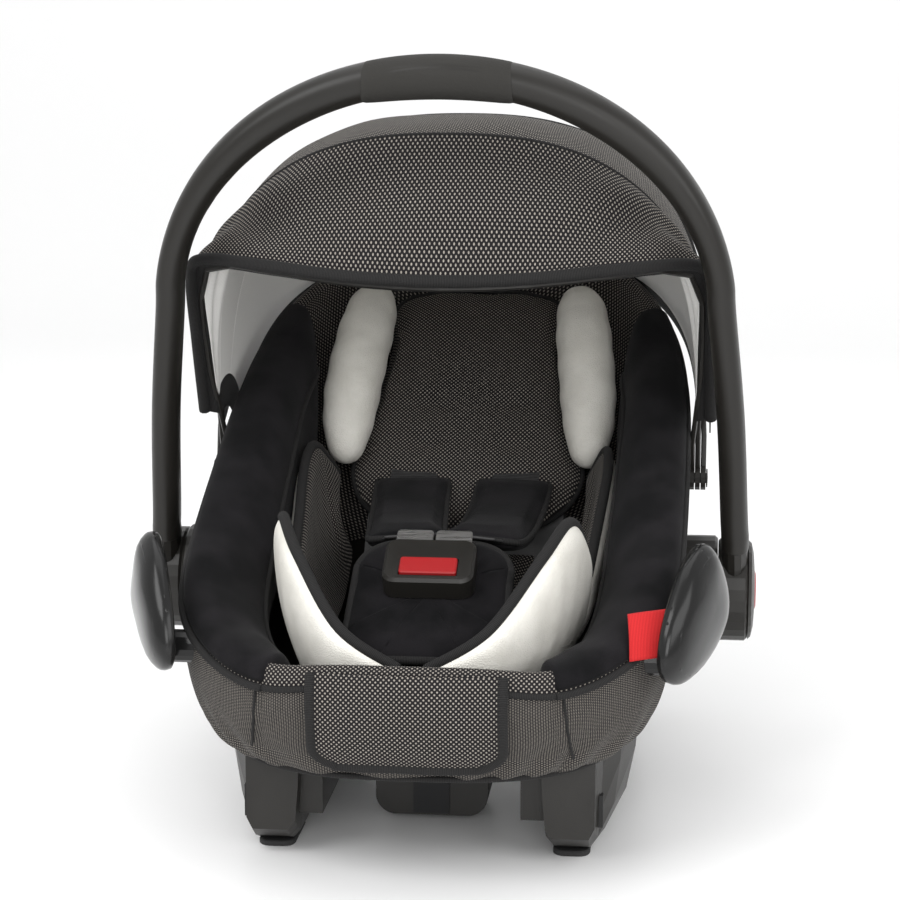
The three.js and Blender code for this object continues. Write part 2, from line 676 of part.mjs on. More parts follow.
function petal(top, foot, thick) {
  const topCurve = new THREE.CatmullRomCurve3(top.map((p) => V(...p)));
  const footCurve = new THREE.CatmullRomCurve3(foot.map((p) => V(...p)));
  const middle = (u, v) => {
    const p = footCurve.getPoint(u).lerp(topCurve.getPoint(u), v);
    return p.add(V(6, -2, -3).multiplyScalar(Math.sin(Math.PI * v)));
  };
  const e = 0.01;
  return sheet((u, v, face) => {
    const du = middle(Math.min(u + e, 1), v).sub(middle(Math.max(u - e, 0), v));
    const dv = middle(u, Math.min(v + e, 1)).sub(middle(u, Math.max(v - e, 0)));
    const normal = du.cross(dv).normalize();
    const edge = Math.min(1, 0.35 + 4 * Math.min(u, 1 - u, 1 - v));
    return middle(u, v).addScaledVector(normal, ((face ? -1 : 1) * thick * edge) / 2);
  }, 10, 5);
}

const PETALS = {
  lower: {
    top: [
      [9, -262, 142], [48, -255, 166], [80, -222, 207],
      [95, -187, 224], [101, -146, 206], [103, -112, 176],
    ],
    foot: [
      [10, -246, 118], [38, -238, 112], [62, -212, 110],
      [74, -178, 110], [80, -144, 110], [82, -114, 110],
    ],
  },
  upper: {
    top: [[104, -98, 168], [109, -40, 196], [113, 10, 222], [111, 40, 231], [104, 58, 218], [98, 70, 204]],
    foot: [[84, -98, 110], [87, -40, 111], [88, 0, 115], [88, 26, 124], [86, 40, 136], [84, 50, 148]],
  },
};

function seatPad() {
  return acrossX([
    [-205, 101], [-60, 100], [24, 107], [54, 142], [52, 154], [40, 148], [14, 120], [-60, 113], [-205, 117],
  ], 56);
}

// A slope through a point, with its own X across, Y up the slope and Z out of it.
function slope(y, z, degrees) {
  const group = new THREE.Group();
  group.position.set(0, y, z);
  group.rotation.x = rad(degrees);
  seat.add(group);
  return group;
}

function addBackPad() {
  const rest = slope(BACK_FOOT.y, BACK_FOOT.z, BACK_ANGLE);
  const outline = new THREE.Shape();
  outline.moveTo(-60, -2);
  outline.bezierCurveTo(-30, -16, 30, -16, 60, -2);
  outline.bezierCurveTo(82, 12, 92, 30, 88, 60);
  outline.lineTo(70, 190);
  outline.quadraticCurveTo(0, 200, -70, 190);
  outline.lineTo(-88, 60);
  outline.bezierCurveTo(-92, 30, -82, 12, -60, -2);
  add('back_pad', 'dotted', solid(slab(outline, 16, 3, 6).translate(0, 6, -16)), rest);
  const spine = new THREE.CatmullRomCurve3([
    V(97, 50, 10), V(98, 80, 18), V(97, 112, 25), V(94, 150, 27), V(91, 182, 24),
  ]);
  const fill = [0.3, 0.75, 0.95, 1, 1, 1, 0.95, 0.75, 0.35];
  const rings = spine.getPoints(8).map((p, i) => between(0, 2 * Math.PI, 12).slice(1)
    .map((a) => p.clone().add(V(13 * fill[i] * Math.cos(a), 0, 21 * fill[i] * Math.sin(a)))));
  pair('head_bolster', 'cream', loft(rings), rest);
}

function addLiner() {
  add('foam_liner', 'foam', foamLiner());
  add('insert_seat_pad', 'dotted', seatPad());
  pair('side_bolster', 'suede', sideBolster());
  pair('lower_petal', 'cream', petal(PETALS.lower.top, PETALS.lower.foot, 11));
  pair('upper_petal', 'cream', petal(PETALS.upper.top, PETALS.upper.foot, 11));
  addBackPad();
}

// ---------------------------------------------------------------- harness

const SHOULDER_ROUTE = [[40, 96, 208], [38, 50, 190], [34, -4, 181], [29, -54, 183], [21, -95, 193]];

function strapRings(points, width, thick, from, to, steps) {
  const curve = new THREE.CatmullRomCurve3(points.map((p) => V(...p)));
  return between(from, to, steps).map((t) => {
    const p = curve.getPointAt(t);
    const normal = V().crossVectors(curve.getTangentAt(t), V(1, 0, 0)).normalize();
    const rounded = [[-1, -0.4], [-0.8, -1], [0.8, -1], [1, -0.4], [1, 0.4], [0.8, 1], [-0.8, 1], [-1, 0.4]];
    return rounded.map(([sx, sn]) => p.clone().add(V((sx * width) / 2, 0, 0))
      .addScaledVector(normal, (sn * thick) / 2));
  });
}

function shoulderPad() {
  const outer = strapRings(SHOULDER_ROUTE, 56, 13, 0.14, 0.78, 8);
  const inner = strapRings(SHOULDER_ROUTE, 40, 4, 0.14, 0.78, 8);
  return loft([...outer, ...inner.reverse()], true);
}

const BUCKLE = { width: 62, length: 44, thick: 18, along: 14, above: 13 };

function addBuckle(lap) {
  const { width, length, thick, along, above } = BUCKLE;
  const body = slab(roundedRect(width, length, 9), thick, 2).translate(0, along, above);
  const well = new THREE.BoxGeometry(40, 17, 8).translate(0, along - 8, above + thick - 2);
  const slot = new THREE.BoxGeometry(54, 24, 4).translate(0, along + length / 2 - 8, above + 9);
  add('buckle_body', 'plastic', cut(body, well, slot), lap);
  const button = slab(roundedRect(39, 16, 2), 5, 0.8).translate(0, along - 8, above + thick - 2.8);
  add('buckle_button', 'red', solid(button), lap);
  const plate = slab(roundedRect(25, 34, 3), 2, 0).translate(13.5, along + length / 2 + 0.5, above + 8);
  pair('buckle_tongue', 'steel', solid(plate), lap);
}

function addHarness() {
  const lap = slope(-160, 158, LAP_ANGLE);
  add('crotch_pad', 'suede', solid(slab(roundedRect(106, 118, 30), 11, 3).translate(0, 0, 0)), lap);
  add('crotch_strap', 'webbing', solid(new THREE.BoxGeometry(38, 100, 1.6).translate(0, -6, -3)), lap);
  addBuckle(lap);
  pair('shoulder_strap', 'webbing', loft(strapRings(SHOULDER_ROUTE, 36, 1.6, 0, 1, 16)));
  pair('shoulder_pad', 'suede', shoulderPad());
  add('adjuster_strap', 'webbing', strap([[0, -151.4, 66], [0, -151.4, 38], [0, -151.4, 9]], 25, 1.6));
}

// ---------------------------------------------------------------- cover, front flap and adjuster

const ADJUSTER = { z: 112, r: 10 };

function discY(radius, from, to, z) {
  return new THREE.CylinderGeometry(radius, radius, to - from, 20).translate(0, (from + to) / 2, z);
}

function frontFlap() {
  const face = (z) => bowl((BOWL.rimFront.z - z) / (BOWL.rimFront.z - BOWL.baseFront.z), -Math.PI / 2).y;
  return sheet((u, v, inner) => {
    const z = lerp(92, 146, v);
    const corner = v < 0.2 ? 1 - 0.25 * (1 - v / 0.2) ** 2 : 1;
    const x = lerp(-61, 61, u) * corner;
    const bow = 5 * (x / 61) ** 2;
    const top = z > 128 ? ((z - 128) / 18) ** 2 * 3 : 0;
    return V(x, face(Math.min(z, 124)) + bow + top - 3.6 - (inner ? 0 : 2.6), z);
  }, 6, 6);
}

function addCover() {
  const shellHole = discY(ADJUSTER.r + 1.5, -310, -262, ADJUSTER.z);
  add('seat_shell', 'plastic', cut(seatShell(), shellHole));
  const openings = [
    discX(HOUSING.neckR + 1, 130, 185, HUB.y, HUB.z, 20),
    discX(10, 130, 185, CANOPY.y, CANOPY.z, 16),
    discX(GUIDE_NECK.hole, 120, 185, GUIDE_NECK.y, GUIDE_NECK.z, 16),
  ].flatMap((hole) => [hole, mirrorX(hole)]);
  add('seat_cover', 'dotted', cut(seatCover(), ...openings, shellHole));
  add('adjuster_button', 'red', solid(discY(ADJUSTER.r, -293.5, -276, ADJUSTER.z)));
  add('front_flap', 'dotted', frontFlap());
}

// ---------------------------------------------------------------- assembly

addCover();
addBase();
pair('belt_guide', 'gloss', beltGuide());
addHandle();
addCanopy();
addLiner();
addHarness();

seat.updateMatrixWorld(true);
const box = new THREE.Box3().setFromObject(seat);
seat.position.set(0, -(box.min.y + box.max.y) / 2, -box.min.z);

export default seat;
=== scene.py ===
import json
import math

import bmesh
import bpy
from mathutils import Matrix, Vector


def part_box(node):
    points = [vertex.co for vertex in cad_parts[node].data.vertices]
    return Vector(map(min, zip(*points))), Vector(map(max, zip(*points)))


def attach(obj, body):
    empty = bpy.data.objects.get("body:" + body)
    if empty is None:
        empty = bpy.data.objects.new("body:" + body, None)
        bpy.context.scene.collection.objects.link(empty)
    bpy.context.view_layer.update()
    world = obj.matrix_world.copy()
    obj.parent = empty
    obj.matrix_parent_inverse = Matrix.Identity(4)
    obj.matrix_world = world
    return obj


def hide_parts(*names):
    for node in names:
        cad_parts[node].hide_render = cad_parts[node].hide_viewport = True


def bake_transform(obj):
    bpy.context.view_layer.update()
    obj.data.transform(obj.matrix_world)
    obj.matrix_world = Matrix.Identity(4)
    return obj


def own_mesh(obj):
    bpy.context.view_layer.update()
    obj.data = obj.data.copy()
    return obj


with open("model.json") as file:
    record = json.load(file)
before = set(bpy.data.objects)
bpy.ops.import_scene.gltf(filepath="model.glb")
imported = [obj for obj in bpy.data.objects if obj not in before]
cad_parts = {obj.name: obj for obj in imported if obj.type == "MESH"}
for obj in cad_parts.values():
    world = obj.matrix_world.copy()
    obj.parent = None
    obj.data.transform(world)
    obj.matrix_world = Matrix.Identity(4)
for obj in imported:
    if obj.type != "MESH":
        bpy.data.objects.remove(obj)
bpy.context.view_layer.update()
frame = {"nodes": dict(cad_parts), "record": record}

# ------------------------------------ frame

JOINTS = {j["name"]: j for j in frame["record"]["behaviour"]["joints"]}
CANOPY_PIVOT = Vector(JOINTS["canopy_rear_fold"]["pos_m"])
HUB = Vector(JOINTS["handle_swing"]["pos_m"])
CANOPY_FORWARD = 0.035
SEAT_Y = CANOPY_PIVOT.y - CANOPY_FORWARD
MM = 0.001
SIDES = ((1, "right"), (-1, "left"))


def seat(x, y, z):
    """A point given in millimetres from the middle of the seat."""
    return Vector((x * MM, y * MM + SEAT_Y, z * MM))


def on_side(point, side):
    return Vector((point.x * side, point.y, point.z))


def mirrored(points):
    return [on_side(p, -1) for p in points]


def lerp(a, b, t):
    return a + (b - a) * t


def clamp(x, lo=0.0, hi=1.0):
    return max(lo, min(hi, x))


def smooth(t):
    t = clamp(t)
    return t * t * (3 - 2 * t)


def spow(x, p):
    return math.copysign(abs(x) ** p, x)


def bump(x, centre, width):
    """1 at the centre, falling to 0 over the width."""
    return math.exp(-(((x - centre) / width) ** 2))


# ------------------------------------ materials


class Nodes:
    """A short way to write a node tree."""

    def __init__(self, name):
        self.material = bpy.data.materials.new(name)
        self.material.use_nodes = True
        self.tree = self.material.node_tree
        self.shader = self.tree.nodes["Principled BSDF"]

    def add(self, kind, **settings):
        node = self.tree.nodes.new(kind)
        for key, value in settings.items():
            setattr(node, key, value)
        return node

    def link(self, a, b):
        self.tree.links.new(a, b)

    def math(self, op, a, b=None):
        node = self.add("ShaderNodeMath", operation=op)
        for socket, value in zip(node.inputs, (a, b)):
            if value is None:
                continue
            if isinstance(value, (int, float)):
                socket.default_value = value
            else:
                self.link(value, socket)
        return node.outputs[0]

    def vector(self, op, a, b=None):
        node = self.add("ShaderNodeVectorMath", operation=op)
        self.link(a, node.inputs[0])
        if b:
            node.inputs[1].default_value = b
        return node.outputs

    def object_coords(self):
        return self.add("ShaderNodeTexCoord").outputs["Object"]

    def uv(self, scale, turn=0.0):
        """Cloth coordinates, in repeats: the UV map is in metres."""
        mapping = self.add("ShaderNodeMapping")
        mapping.inputs["Scale"].default_value = (scale, scale, scale)
        mapping.inputs["Rotation"].default_value = (0, 0, turn)
        self.link(self.add("ShaderNodeTexCoord").outputs["UV"], mapping.inputs["Vector"])
        return mapping.outputs[0]

    def noise(self, scale, detail=3.0, vector=None):
        node = self.add("ShaderNodeTexNoise")
        node.inputs["Scale"].default_value = scale
        node.inputs["Detail"].default_value = detail
        self.link(vector or self.object_coords(), node.inputs["Vector"])
        return node.outputs["Fac"]

    def remap(self, value, lo, hi, out_lo, out_hi):
        node = self.add("ShaderNodeMapRange")
        for socket, number in zip(("From Min", "From Max", "To Min", "To Max"), (lo, hi, out_lo, out_hi)):
            node.inputs[socket].default_value = number
        self.link(value, node.inputs["Value"])
        return node.outputs[0]

    def mix(self, factor, a, b):
        node = self.add("ShaderNodeMix", data_type="RGBA")
        self.link(factor, node.inputs["Factor"])
        for socket, value in ((node.inputs[6], a), (node.inputs[7], b)):
            if isinstance(value, tuple):
                socket.default_value = (*value, 1.0)
            else:
                self.link(value, socket)
        return node.outputs[2]

    def bump(self, height, distance):
        node = self.add("ShaderNodeBump")
        node.inputs["Strength"].default_value = 1.0
        node.inputs["Distance"].default_value = distance
        self.link(height, node.inputs["Height"])
        self.link(node.outputs[0], self.shader.inputs["Normal"])

    def color(self, value):
        self.link(value, self.shader.inputs["Base Color"])

    def rough(self, value):
        if isinstance(value, (int, float)):
            self.shader.inputs["Roughness"].default_value = value
        else:
            self.link(value, self.shader.inputs["Roughness"])

    def specular(self, level):
        self.shader.inputs["Specular IOR Level"].default_value = level

    def sheen(self, weight, rough=0.4):
        self.shader.inputs["Sheen Weight"].default_value = weight
        self.shader.inputs["Sheen Roughness"].default_value = rough


def plastic(name, base, rough, grain=0.00006, worn=1.5, grain_scale=1400.0):
    """Moulded plastic: fine spark-eroded grain, uneven sheen and paler worn edges."""
    n = Nodes(name)
    patches = n.noise(14.0, 4.0)
    tone = n.mix(patches, base, tuple(c * 1.18 for c in base))
    edge = n.remap(n.add("ShaderNodeNewGeometry").outputs["Pointiness"], 0.52, 0.60, 0.0, 0.55)
    n.color(n.mix(edge, tone, tuple(min(1.0, c * worn + 0.01) for c in base)))
    n.rough(n.remap(patches, 0.3, 0.7, rough - 0.06, rough + 0.07))
    n.specular(0.32)
    n.bump(n.noise(grain_scale, 2.0), grain)
    return n.material


DOT_PITCH, DOT_CORE, DOT_EDGE = 0.0024, 0.20, 0.31  # the last two as shares of the pitch


def dotted():
    """Near-black woven cloth with small pale dots on a diagonal lattice."""
    n = Nodes("dotted_fabric")
    cell = n.uv(1 / DOT_PITCH, math.radians(45))
    centred = n.vector("SUBTRACT", n.vector("FRACTION", cell)[0], (0.5, 0.5, 0.0))[0]
    flat = n.vector("MULTIPLY", centred, (1.0, 1.0, 0.0))[0]
    dot = n.remap(n.vector("LENGTH", flat)["Value"], DOT_CORE, DOT_EDGE, 1.0, 0.0)
    uneven = n.remap(n.noise(900.0, 2.0, n.add("ShaderNodeTexCoord").outputs["UV"]), 0.3, 0.7, 0.65, 1.0)
    n.color(n.mix(n.math("MULTIPLY", dot, uneven), (0.010, 0.009, 0.010), (0.36, 0.33, 0.29)))
    n.rough(0.88)
    n.specular(0.2)
    n.sheen(0.05)
    thread = n.noise(1.0, 2.0, n.uv(1 / 0.0007))
    n.bump(n.math("ADD", n.math("MULTIPLY", dot, 0.8), thread), 0.00022)
    return n.material


def woven(name, dark, light, pitch, rough=0.85, depth=0.0002, turn=45, sheen=0.15):
    """Cloth with a visible diagonal or straight rib."""
    n = Nodes(name)
    rib = n.add("ShaderNodeTexWave", wave_type="BANDS", bands_direction="X")
    rib.inputs["Scale"].default_value = 0.32
    rib.inputs["Distortion"].default_value = 0.5
    n.link(n.uv(1 / pitch, math.radians(turn)), rib.inputs["Vector"])
    cross = n.noise(1.0, 2.0, n.uv(1.6 / pitch))
    height = n.math("ADD", rib.outputs["Fac"], n.math("MULTIPLY", cross, 0.6))
    n.color(n.mix(n.remap(height, 0.3, 1.3, 0.0, 1.0), dark, light))
    n.rough(rough)
    n.specular(0.25)
    n.sheen(sheen)
    n.bump(height, depth)
    return n.material


def napped(name, base, pile, sheen):
    """Suede and other napped cloth: soft patches where the pile lies two ways."""
    n = Nodes(name)
    brushed = n.remap(n.noise(34.0, 6.0), 0.36, 0.64, 0.0, 1.0)
    fibre = n.noise(1800.0, 2.0)
    n.color(n.mix(n.math("MULTIPLY", brushed, n.remap(fibre, 0.3, 0.7, 0.6, 1.2)), base, pile))
    n.rough(0.94)
    n.specular(0.15)
    n.sheen(sheen, 0.5)
    n.bump(fibre, 0.00018)
    return n.material


def leatherette(name, base, shade):
    """Coated cloth with a pebbled grain and faint creases, with painted shade: a darker colour in the hollows of
    the creases.
    """
    n = Nodes(name)
    cells = n.add("ShaderNodeTexVoronoi", feature="DISTANCE_TO_EDGE")
    cells.inputs["Scale"].default_value = 620.0
    n.link(n.object_coords(), cells.inputs["Vector"])
    grain = n.remap(cells.outputs["Distance"], 0.0, 0.25, 0.0, 1.0)
    crease = n.noise(45.0, 4.0)
    # painted shade: the colour moves towards the darker shade colour where the crease bump is low, in its hollows
    n.color(n.mix(n.remap(crease, 0.35, 0.65, 0.0, 1.0), shade, base))
    n.rough(n.remap(grain, 0.0, 1.0, 0.62, 0.44))
    n.bump(n.math("ADD", grain, n.math("MULTIPLY", crease, 3.0)), 0.00020)
    return n.material


def metal():
    """Brushed zinc-plated steel."""
    n = Nodes("steel")
    mapping = n.add("ShaderNodeMapping")
    mapping.inputs["Scale"].default_value = (40.0, 900.0, 900.0)
    n.link(n.object_coords(), mapping.inputs["Vector"])
    brush = n.noise(1.0, 3.0, mapping.outputs[0])
    n.color(n.mix(brush, (0.50, 0.50, 0.51), (0.68, 0.67, 0.66)))
    n.shader.inputs["Metallic"].default_value = 1.0
    n.rough(n.remap(brush, 0.3, 0.7, 0.22, 0.38))
    n.bump(brush, 0.00003)
    return n.material


MATERIALS = {
    "plastic": plastic("plastic", (0.0120, 0.0110, 0.0095), 0.36),
    "gloss_plastic": plastic("gloss_plastic", (0.006, 0.006, 0.006), 0.16, 0.00002),
    "grip_rubber": plastic("grip_rubber", (0.019, 0.018, 0.016), 0.72, 0.00025, 1.2, 700.0),
    "foot_rubber": plastic("foot_rubber", (0.020, 0.020, 0.020), 0.80, 0.00022, 1.3, 600.0),
    "red_plastic": plastic("red_plastic", (0.30, 0.008, 0.010), 0.34, 0.00004, 1.15),
    "steel": metal(),
    "dotted_fabric": dotted(),
    "twill_fabric": woven("twill_fabric", (0.013, 0.013, 0.014), (0.060, 0.058, 0.058), 0.0016),
    "binding": woven("binding", (0.006, 0.006, 0.006), (0.024, 0.023, 0.023), 0.0011, 0.85, 0.00015, 90, 0.02),
    "suede": napped("suede", (0.003, 0.003, 0.0035), (0.011, 0.010, 0.0115), 0.03),
    "cream_leatherette": leatherette("cream_leatherette", (0.84, 0.82, 0.76), (0.74, 0.72, 0.66)),
    "lining": woven("lining", (0.82, 0.81, 0.78), (0.93, 0.92, 0.90), 0.0012, 0.9, 0.00012, 0),
    "webbing": woven("webbing", (0.010, 0.010, 0.011), (0.055, 0.054, 0.055), 0.0022, 0.42, 0.0003, 90, 0.05),
    "red_cloth": woven("red_cloth", (0.38, 0.010, 0.012), (0.60, 0.022, 0.024), 0.0010, 0.8, 0.0001, 0),
    "foam": napped("foam", (0.10, 0.10, 0.10), (0.17, 0.17, 0.17), 0.0),
}


# ------------------------------------ mesh helpers


def mesh_object(name, verts, faces, materials, uvs):
    """A smooth-shaded mesh object. uvs holds one pair for each vertex, in metres."""
    mesh = bpy.data.meshes.new(name)
    mesh.from_pydata([tuple(v) for v in verts], [], faces)
    for m in materials:
        mesh.materials.append(MATERIALS[m])
    layer = mesh.uv_layers.new(name="UVMap")
    for loop in mesh.loops:
        layer.data[loop.index].uv = uvs[loop.vertex_index]
    for polygon in mesh.polygons:
        polygon.use_smooth = True
    obj = bpy.data.objects.new(name, mesh)
    bpy.context.scene.collection.objects.link(obj)
    return obj


def modifier(obj, kind, **settings):
    m = obj.modifiers.new(kind.title(), kind)
    for key, value in settings.items():
        setattr(m, key, value)
    return m


def fit(obj, body, slot, *nodes):
    """Ties a piece to its body and lets it stand for CAD nodes, which it hides; the slot argument is not used."""
    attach(obj, body)
    if nodes:
        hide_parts(*nodes)
    return obj


def outward(obj):
    """Turns the faces of a closed mesh outwards."""
    bm = bmesh.new()
    bm.from_mesh(obj.data)
    bmesh.ops.recalc_face_normals(bm, faces=bm.faces)
    bm.to_mesh(obj.data)
    bm.free()
    return obj


def arc_uvs(rows):
    """Cloth coordinates for a grid: true length along each row from its middle, mean length across rows."""
    uvs = []
    down = 0.0
    for i, row in enumerate(rows):
        if i:
            steps = [(a - b).length for a, b in zip(row, rows[i - 1])]
            down += sum(steps) / len(steps)
        along = [0.0]
        for a, b in zip(row[1:], row):
            along.append(along[-1] + (a - b).length)
        middle = along[len(row) // 2]
        uvs += [(x - middle, down) for x in along]
    return uvs


def surface(name, f, across, down, materials):
    """A sheet from f(s, t), with s across and t down, both 0 to 1."""
    rows = [[f(i / across, j / down) for i in range(across + 1)] for j in range(down + 1)]
    wide = across + 1
    faces = []
    for j in range(down):
        for i in range(across):
            a = j * wide + i
            faces.append((a, a + 1, a + 1 + wide, a + wide))
    return mesh_object(name, [p for row in rows for p in row], faces, materials, arc_uvs(rows))


def frames(points, closed=False, up=None):
    """(tangent, side, normal) at each point, without twist; up gives the normal where it is known."""
    count = len(points)
    result = []
    normal = None
    for i in range(count):
        a = points[(i - 1) % count] if closed or i else points[i]
        b = points[(i + 1) % count] if closed or i < count - 1 else points[i]
        tangent = (b - a).normalized()
        if up is not None:
            normal = up(i) if callable(up) else up
        elif normal is None:
            normal = tangent.orthogonal()
        normal = (normal - tangent * normal.dot(tangent)).normalized()
        result.append((tangent, tangent.cross(normal), normal))
    return result


def sweep(name, points, section, materials, closed=False, up=None):
    """A closed section carried along points. section(t) gives (side, normal) offsets in metres."""
    rings = []
    count = len(points)
    for i, (p, (_, side, normal)) in enumerate(zip(points, frames(points, closed, up))):
        rings.append([p + side * x + normal * y for x, y in section(i / max(1, count - 1))])
    around = len(rings[0])
    faces = []
    for i in range(count if closed else count - 1):
        j = (i + 1) % count
        for k in range(around):
            m = (k + 1) % around
            faces.append((i * around + k, i * around + m, j * around + m, j * around + k))
    if not closed:
        faces.append(tuple(range(around - 1, -1, -1)))
        faces.append(tuple(range((count - 1) * around, count * around)))
    uvs = []
    length = 0.0
    for i, ring in enumerate(rings):
        if i:
            length += (points[i] - points[i - 1]).length
        turn = 0.0
        for k, q in enumerate(ring):
            turn += (q - ring[k - 1]).length if k else 0.0
            uvs.append((turn, length))
    return outward(mesh_object(name, [q for ring in rings for q in ring], faces, materials, uvs))


def oval(width, depth, power=1.0, count=16):
    """An oval or, below power 1, a squarer section."""
    steps = [2 * math.pi * k / count for k in range(count)]
    return [(width / 2 * spow(math.cos(a), power), depth / 2 * spow(math.sin(a), power)) for a in steps]


def piping(name, points, body, closed=False, radius=0.0021):
    """A corded edge sewn along a seam."""
    section = oval(2 * radius, 2 * radius, 1.0, 10)
    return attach(sweep(name, points, lambda t: section, ["binding"], closed), body)


def spline(points, count, closed=False):
    """count points, evenly spaced in parameter, on a Catmull-Rom curve."""
    size = len(points)
    spans = size if closed else size - 1
    result = []
    for i in range(count):
        u = spans * i / (count if closed else count - 1)
        k = min(int(u), spans - 1)
        t = u - k
        pick = (lambda n: points[n % size]) if closed else (lambda n: points[max(0, min(size - 1, n))])
        a, b, c, d = (pick(k + n) for n in (-1, 0, 1, 2))
        part = b * 2 + (c - a) * t + (a * 2 - b * 5 + c * 4 - d) * t * t
        result.append((part + (b * 3 - a - c * 3 + d) * t * t * t) / 2)
    return result


# ------------------------------------ the seat's bowl

BOWL_HALF = 170
BOWL_BASE_HALF = 128
RIM_FRONT = (-296, 124)
RIM_REAR = (262, 348)
BASE_FRONT = (-282, 82)
BASE_REAR = (90, 78)
BACK_BULGE = 22
CROWN = 8
ROLL_HEIGHT = 14
ROLL_HALF = 78
ROLL_REACH = 120
SQUARENESS = 2 / 3
FULLNESS, FULL_AT, FULL_REACH, FULL_FROM = 9, -215, 75, 80


def bowl(level, angle, inset=0.0, lift=0.0):
    """A point on the bowl: level 0 at the rim and 1 at the base, up to 2 at the base's middle."""
    t = min(level, 1.0)
    shrink = 2 - level if level > 1 else 1.0
    front = lerp(RIM_FRONT[0], BASE_FRONT[0], t * t) + inset
    rear = lerp(RIM_REAR[0], BASE_REAR[0], t) + BACK_BULGE * math.sin(math.pi * t) - inset
    low = lerp(RIM_FRONT[1], BASE_FRONT[1], t)
    high = lerp(RIM_REAR[1], BASE_REAR[1], t)
    wide = lerp(BOWL_BASE_HALF, BOWL_HALF, math.sqrt(1 - t * t)) - inset
    x = wide * shrink * spow(math.cos(angle), SQUARENESS)
    middle = (front + rear) / 2
    y = middle + (rear - front) / 2 * shrink * spow(math.sin(angle), SQUARENESS)
    slope = (high - low) / (rear - front)
    reach = clamp((RIM_FRONT[0] + ROLL_REACH - y) / ROLL_REACH)
    roll = ROLL_HEIGHT * math.exp(-((x / ROLL_HALF) ** 4)) * reach
    z = low + slope * (y - front) + roll * (1 - t) + lift
    x += math.copysign(FULLNESS * bump(y, FULL_AT, FULL_REACH) * clamp(abs(x) / FULL_FROM), x)
    if level > 1:
        z -= CROWN * (1 - shrink * shrink)
    return seat(x, y, z)


def profile_at(profile, t):
    """A row of (level, inset, lift) read between its entries, t from 0 to 1."""
    u = t * (len(profile) - 1)
    k = min(int(u), len(profile) - 2)
    return [lerp(a, b, u - k) for a, b in zip(profile[k], profile[k + 1])]


def angle_at(x, level=0.0):
    """The front angle on the bowl where it is x millimetres from the middle."""
    wide = lerp(BOWL_BASE_HALF, BOWL_HALF, math.sqrt(1 - level * level))
    return -math.acos(clamp(abs(x) / wide) ** 1.5)


COVER_PROFILE = [  # level, inset and lift
    (1.0, 3, -7), (0.93, 0.5, -3), (0.86, 0, 0), (0.75, 0, 0), (0.6, 0, 0), (0.45, 0, 0), (0.3, 0, 0),
    (0.15, 0, 0), (0.0, 0, 0), (0.0, 1.5, 6), (0.0, 4, 11), (0.0, 8, 14), (0.0, 11, 14), (0.0, 15, 8), (0.0, 17, 0),
    (0.2, 17, 0), (0.45, 17, 0), (0.75, 17, 0),
]
SEAM_X, SEAM_SPREAD = 94, 4
SEAM_LEVELS = (0.02, 0.2, 0.4, 0.6, 0.8, 0.92)
CLOTH_THICK = 0.0022


def cover_point(s, t):
    """The fitted cover: hem under the shell, up its outside, over the rim and down inside."""
    angle = math.pi / 2 + 2 * math.pi * s
    level, inset, lift = profile_at(COVER_PROFILE, t)
    hem = smooth((level - 0.45) / 0.45) if t < 0.5 else 0.0
    inset += 1.6 * hem * math.sin(angle * 31 + 2 * math.sin(angle * 5))
    p = bowl(level, angle, inset, lift)
    front = clamp((seat(0, -150, 0).y - p.y) / 0.08)
    groove = bump(abs(p.x) / MM, SEAM_X + SEAM_SPREAD * level, 2.2) * front * (1.0 if t < 0.6 else 0.0)
    tension = math.sin(angle * 13 + level * 9) * math.sin(math.pi * clamp(level)) * 0.5
    away = (p - seat(0, -20, 120)).normalized()
    return p + away * MM * (0.7 + tension - 1.3 * groove)


cover = surface("seat_cover_cloth", cover_point, 360, 76, ["dotted_fabric", "twill_fabric"])
modifier(cover, "SOLIDIFY", thickness=CLOTH_THICK, offset=-1)
fit(cover, "seat", "dotted_fabric", "seat_cover")

for level, inset, lift, label in ((0.0, -0.6, 1, "rim"), (1.0, 2.6, -7, "hem")):
    loop = [bowl(level, 2 * math.pi * k / 240, inset, lift) for k in range(240)]
    piping("cover_piping_" + label, loop, "seat", closed=True)


def seam_line(side):
    line = [bowl(level, angle_at(SEAM_X + SEAM_SPREAD * level, level), -0.9) for level in SEAM_LEVELS]
    return spline(line if side > 0 else mirrored(line), 40)


for side, label in SIDES:
    piping("cover_seam_" + label, seam_line(side), "seat", radius=0.0010)

# ------------------------------------ padded pieces


def closed_loft(name, rings, materials):
    """A closed stuffed form through rings, with its ends drawn together."""
    around = len(rings[0])
    verts = [p for ring in rings for p in ring]
    faces = []
    for i in range(len(rings) - 1):
        for k in range(around):
            m = (k + 1) % around
            faces.append((i * around + k, i * around + m, (i + 1) * around + m, (i + 1) * around + k))
    uvs = arc_uvs(rings)
    for ring, start, order in ((rings[0], 0, -1), (rings[-1], (len(rings) - 1) * around, 1)):
        middle = sum(ring, Vector()) / around
        verts.append(middle)
        uvs.append((0.0, uvs[start][1]))
        centre = len(verts) - 1
        for k in range(around):
            edge = (start + k, start + (k + 1) % around)
            faces.append((centre, *edge[::order]))
    return outward(mesh_object(name, verts, faces, materials, uvs))


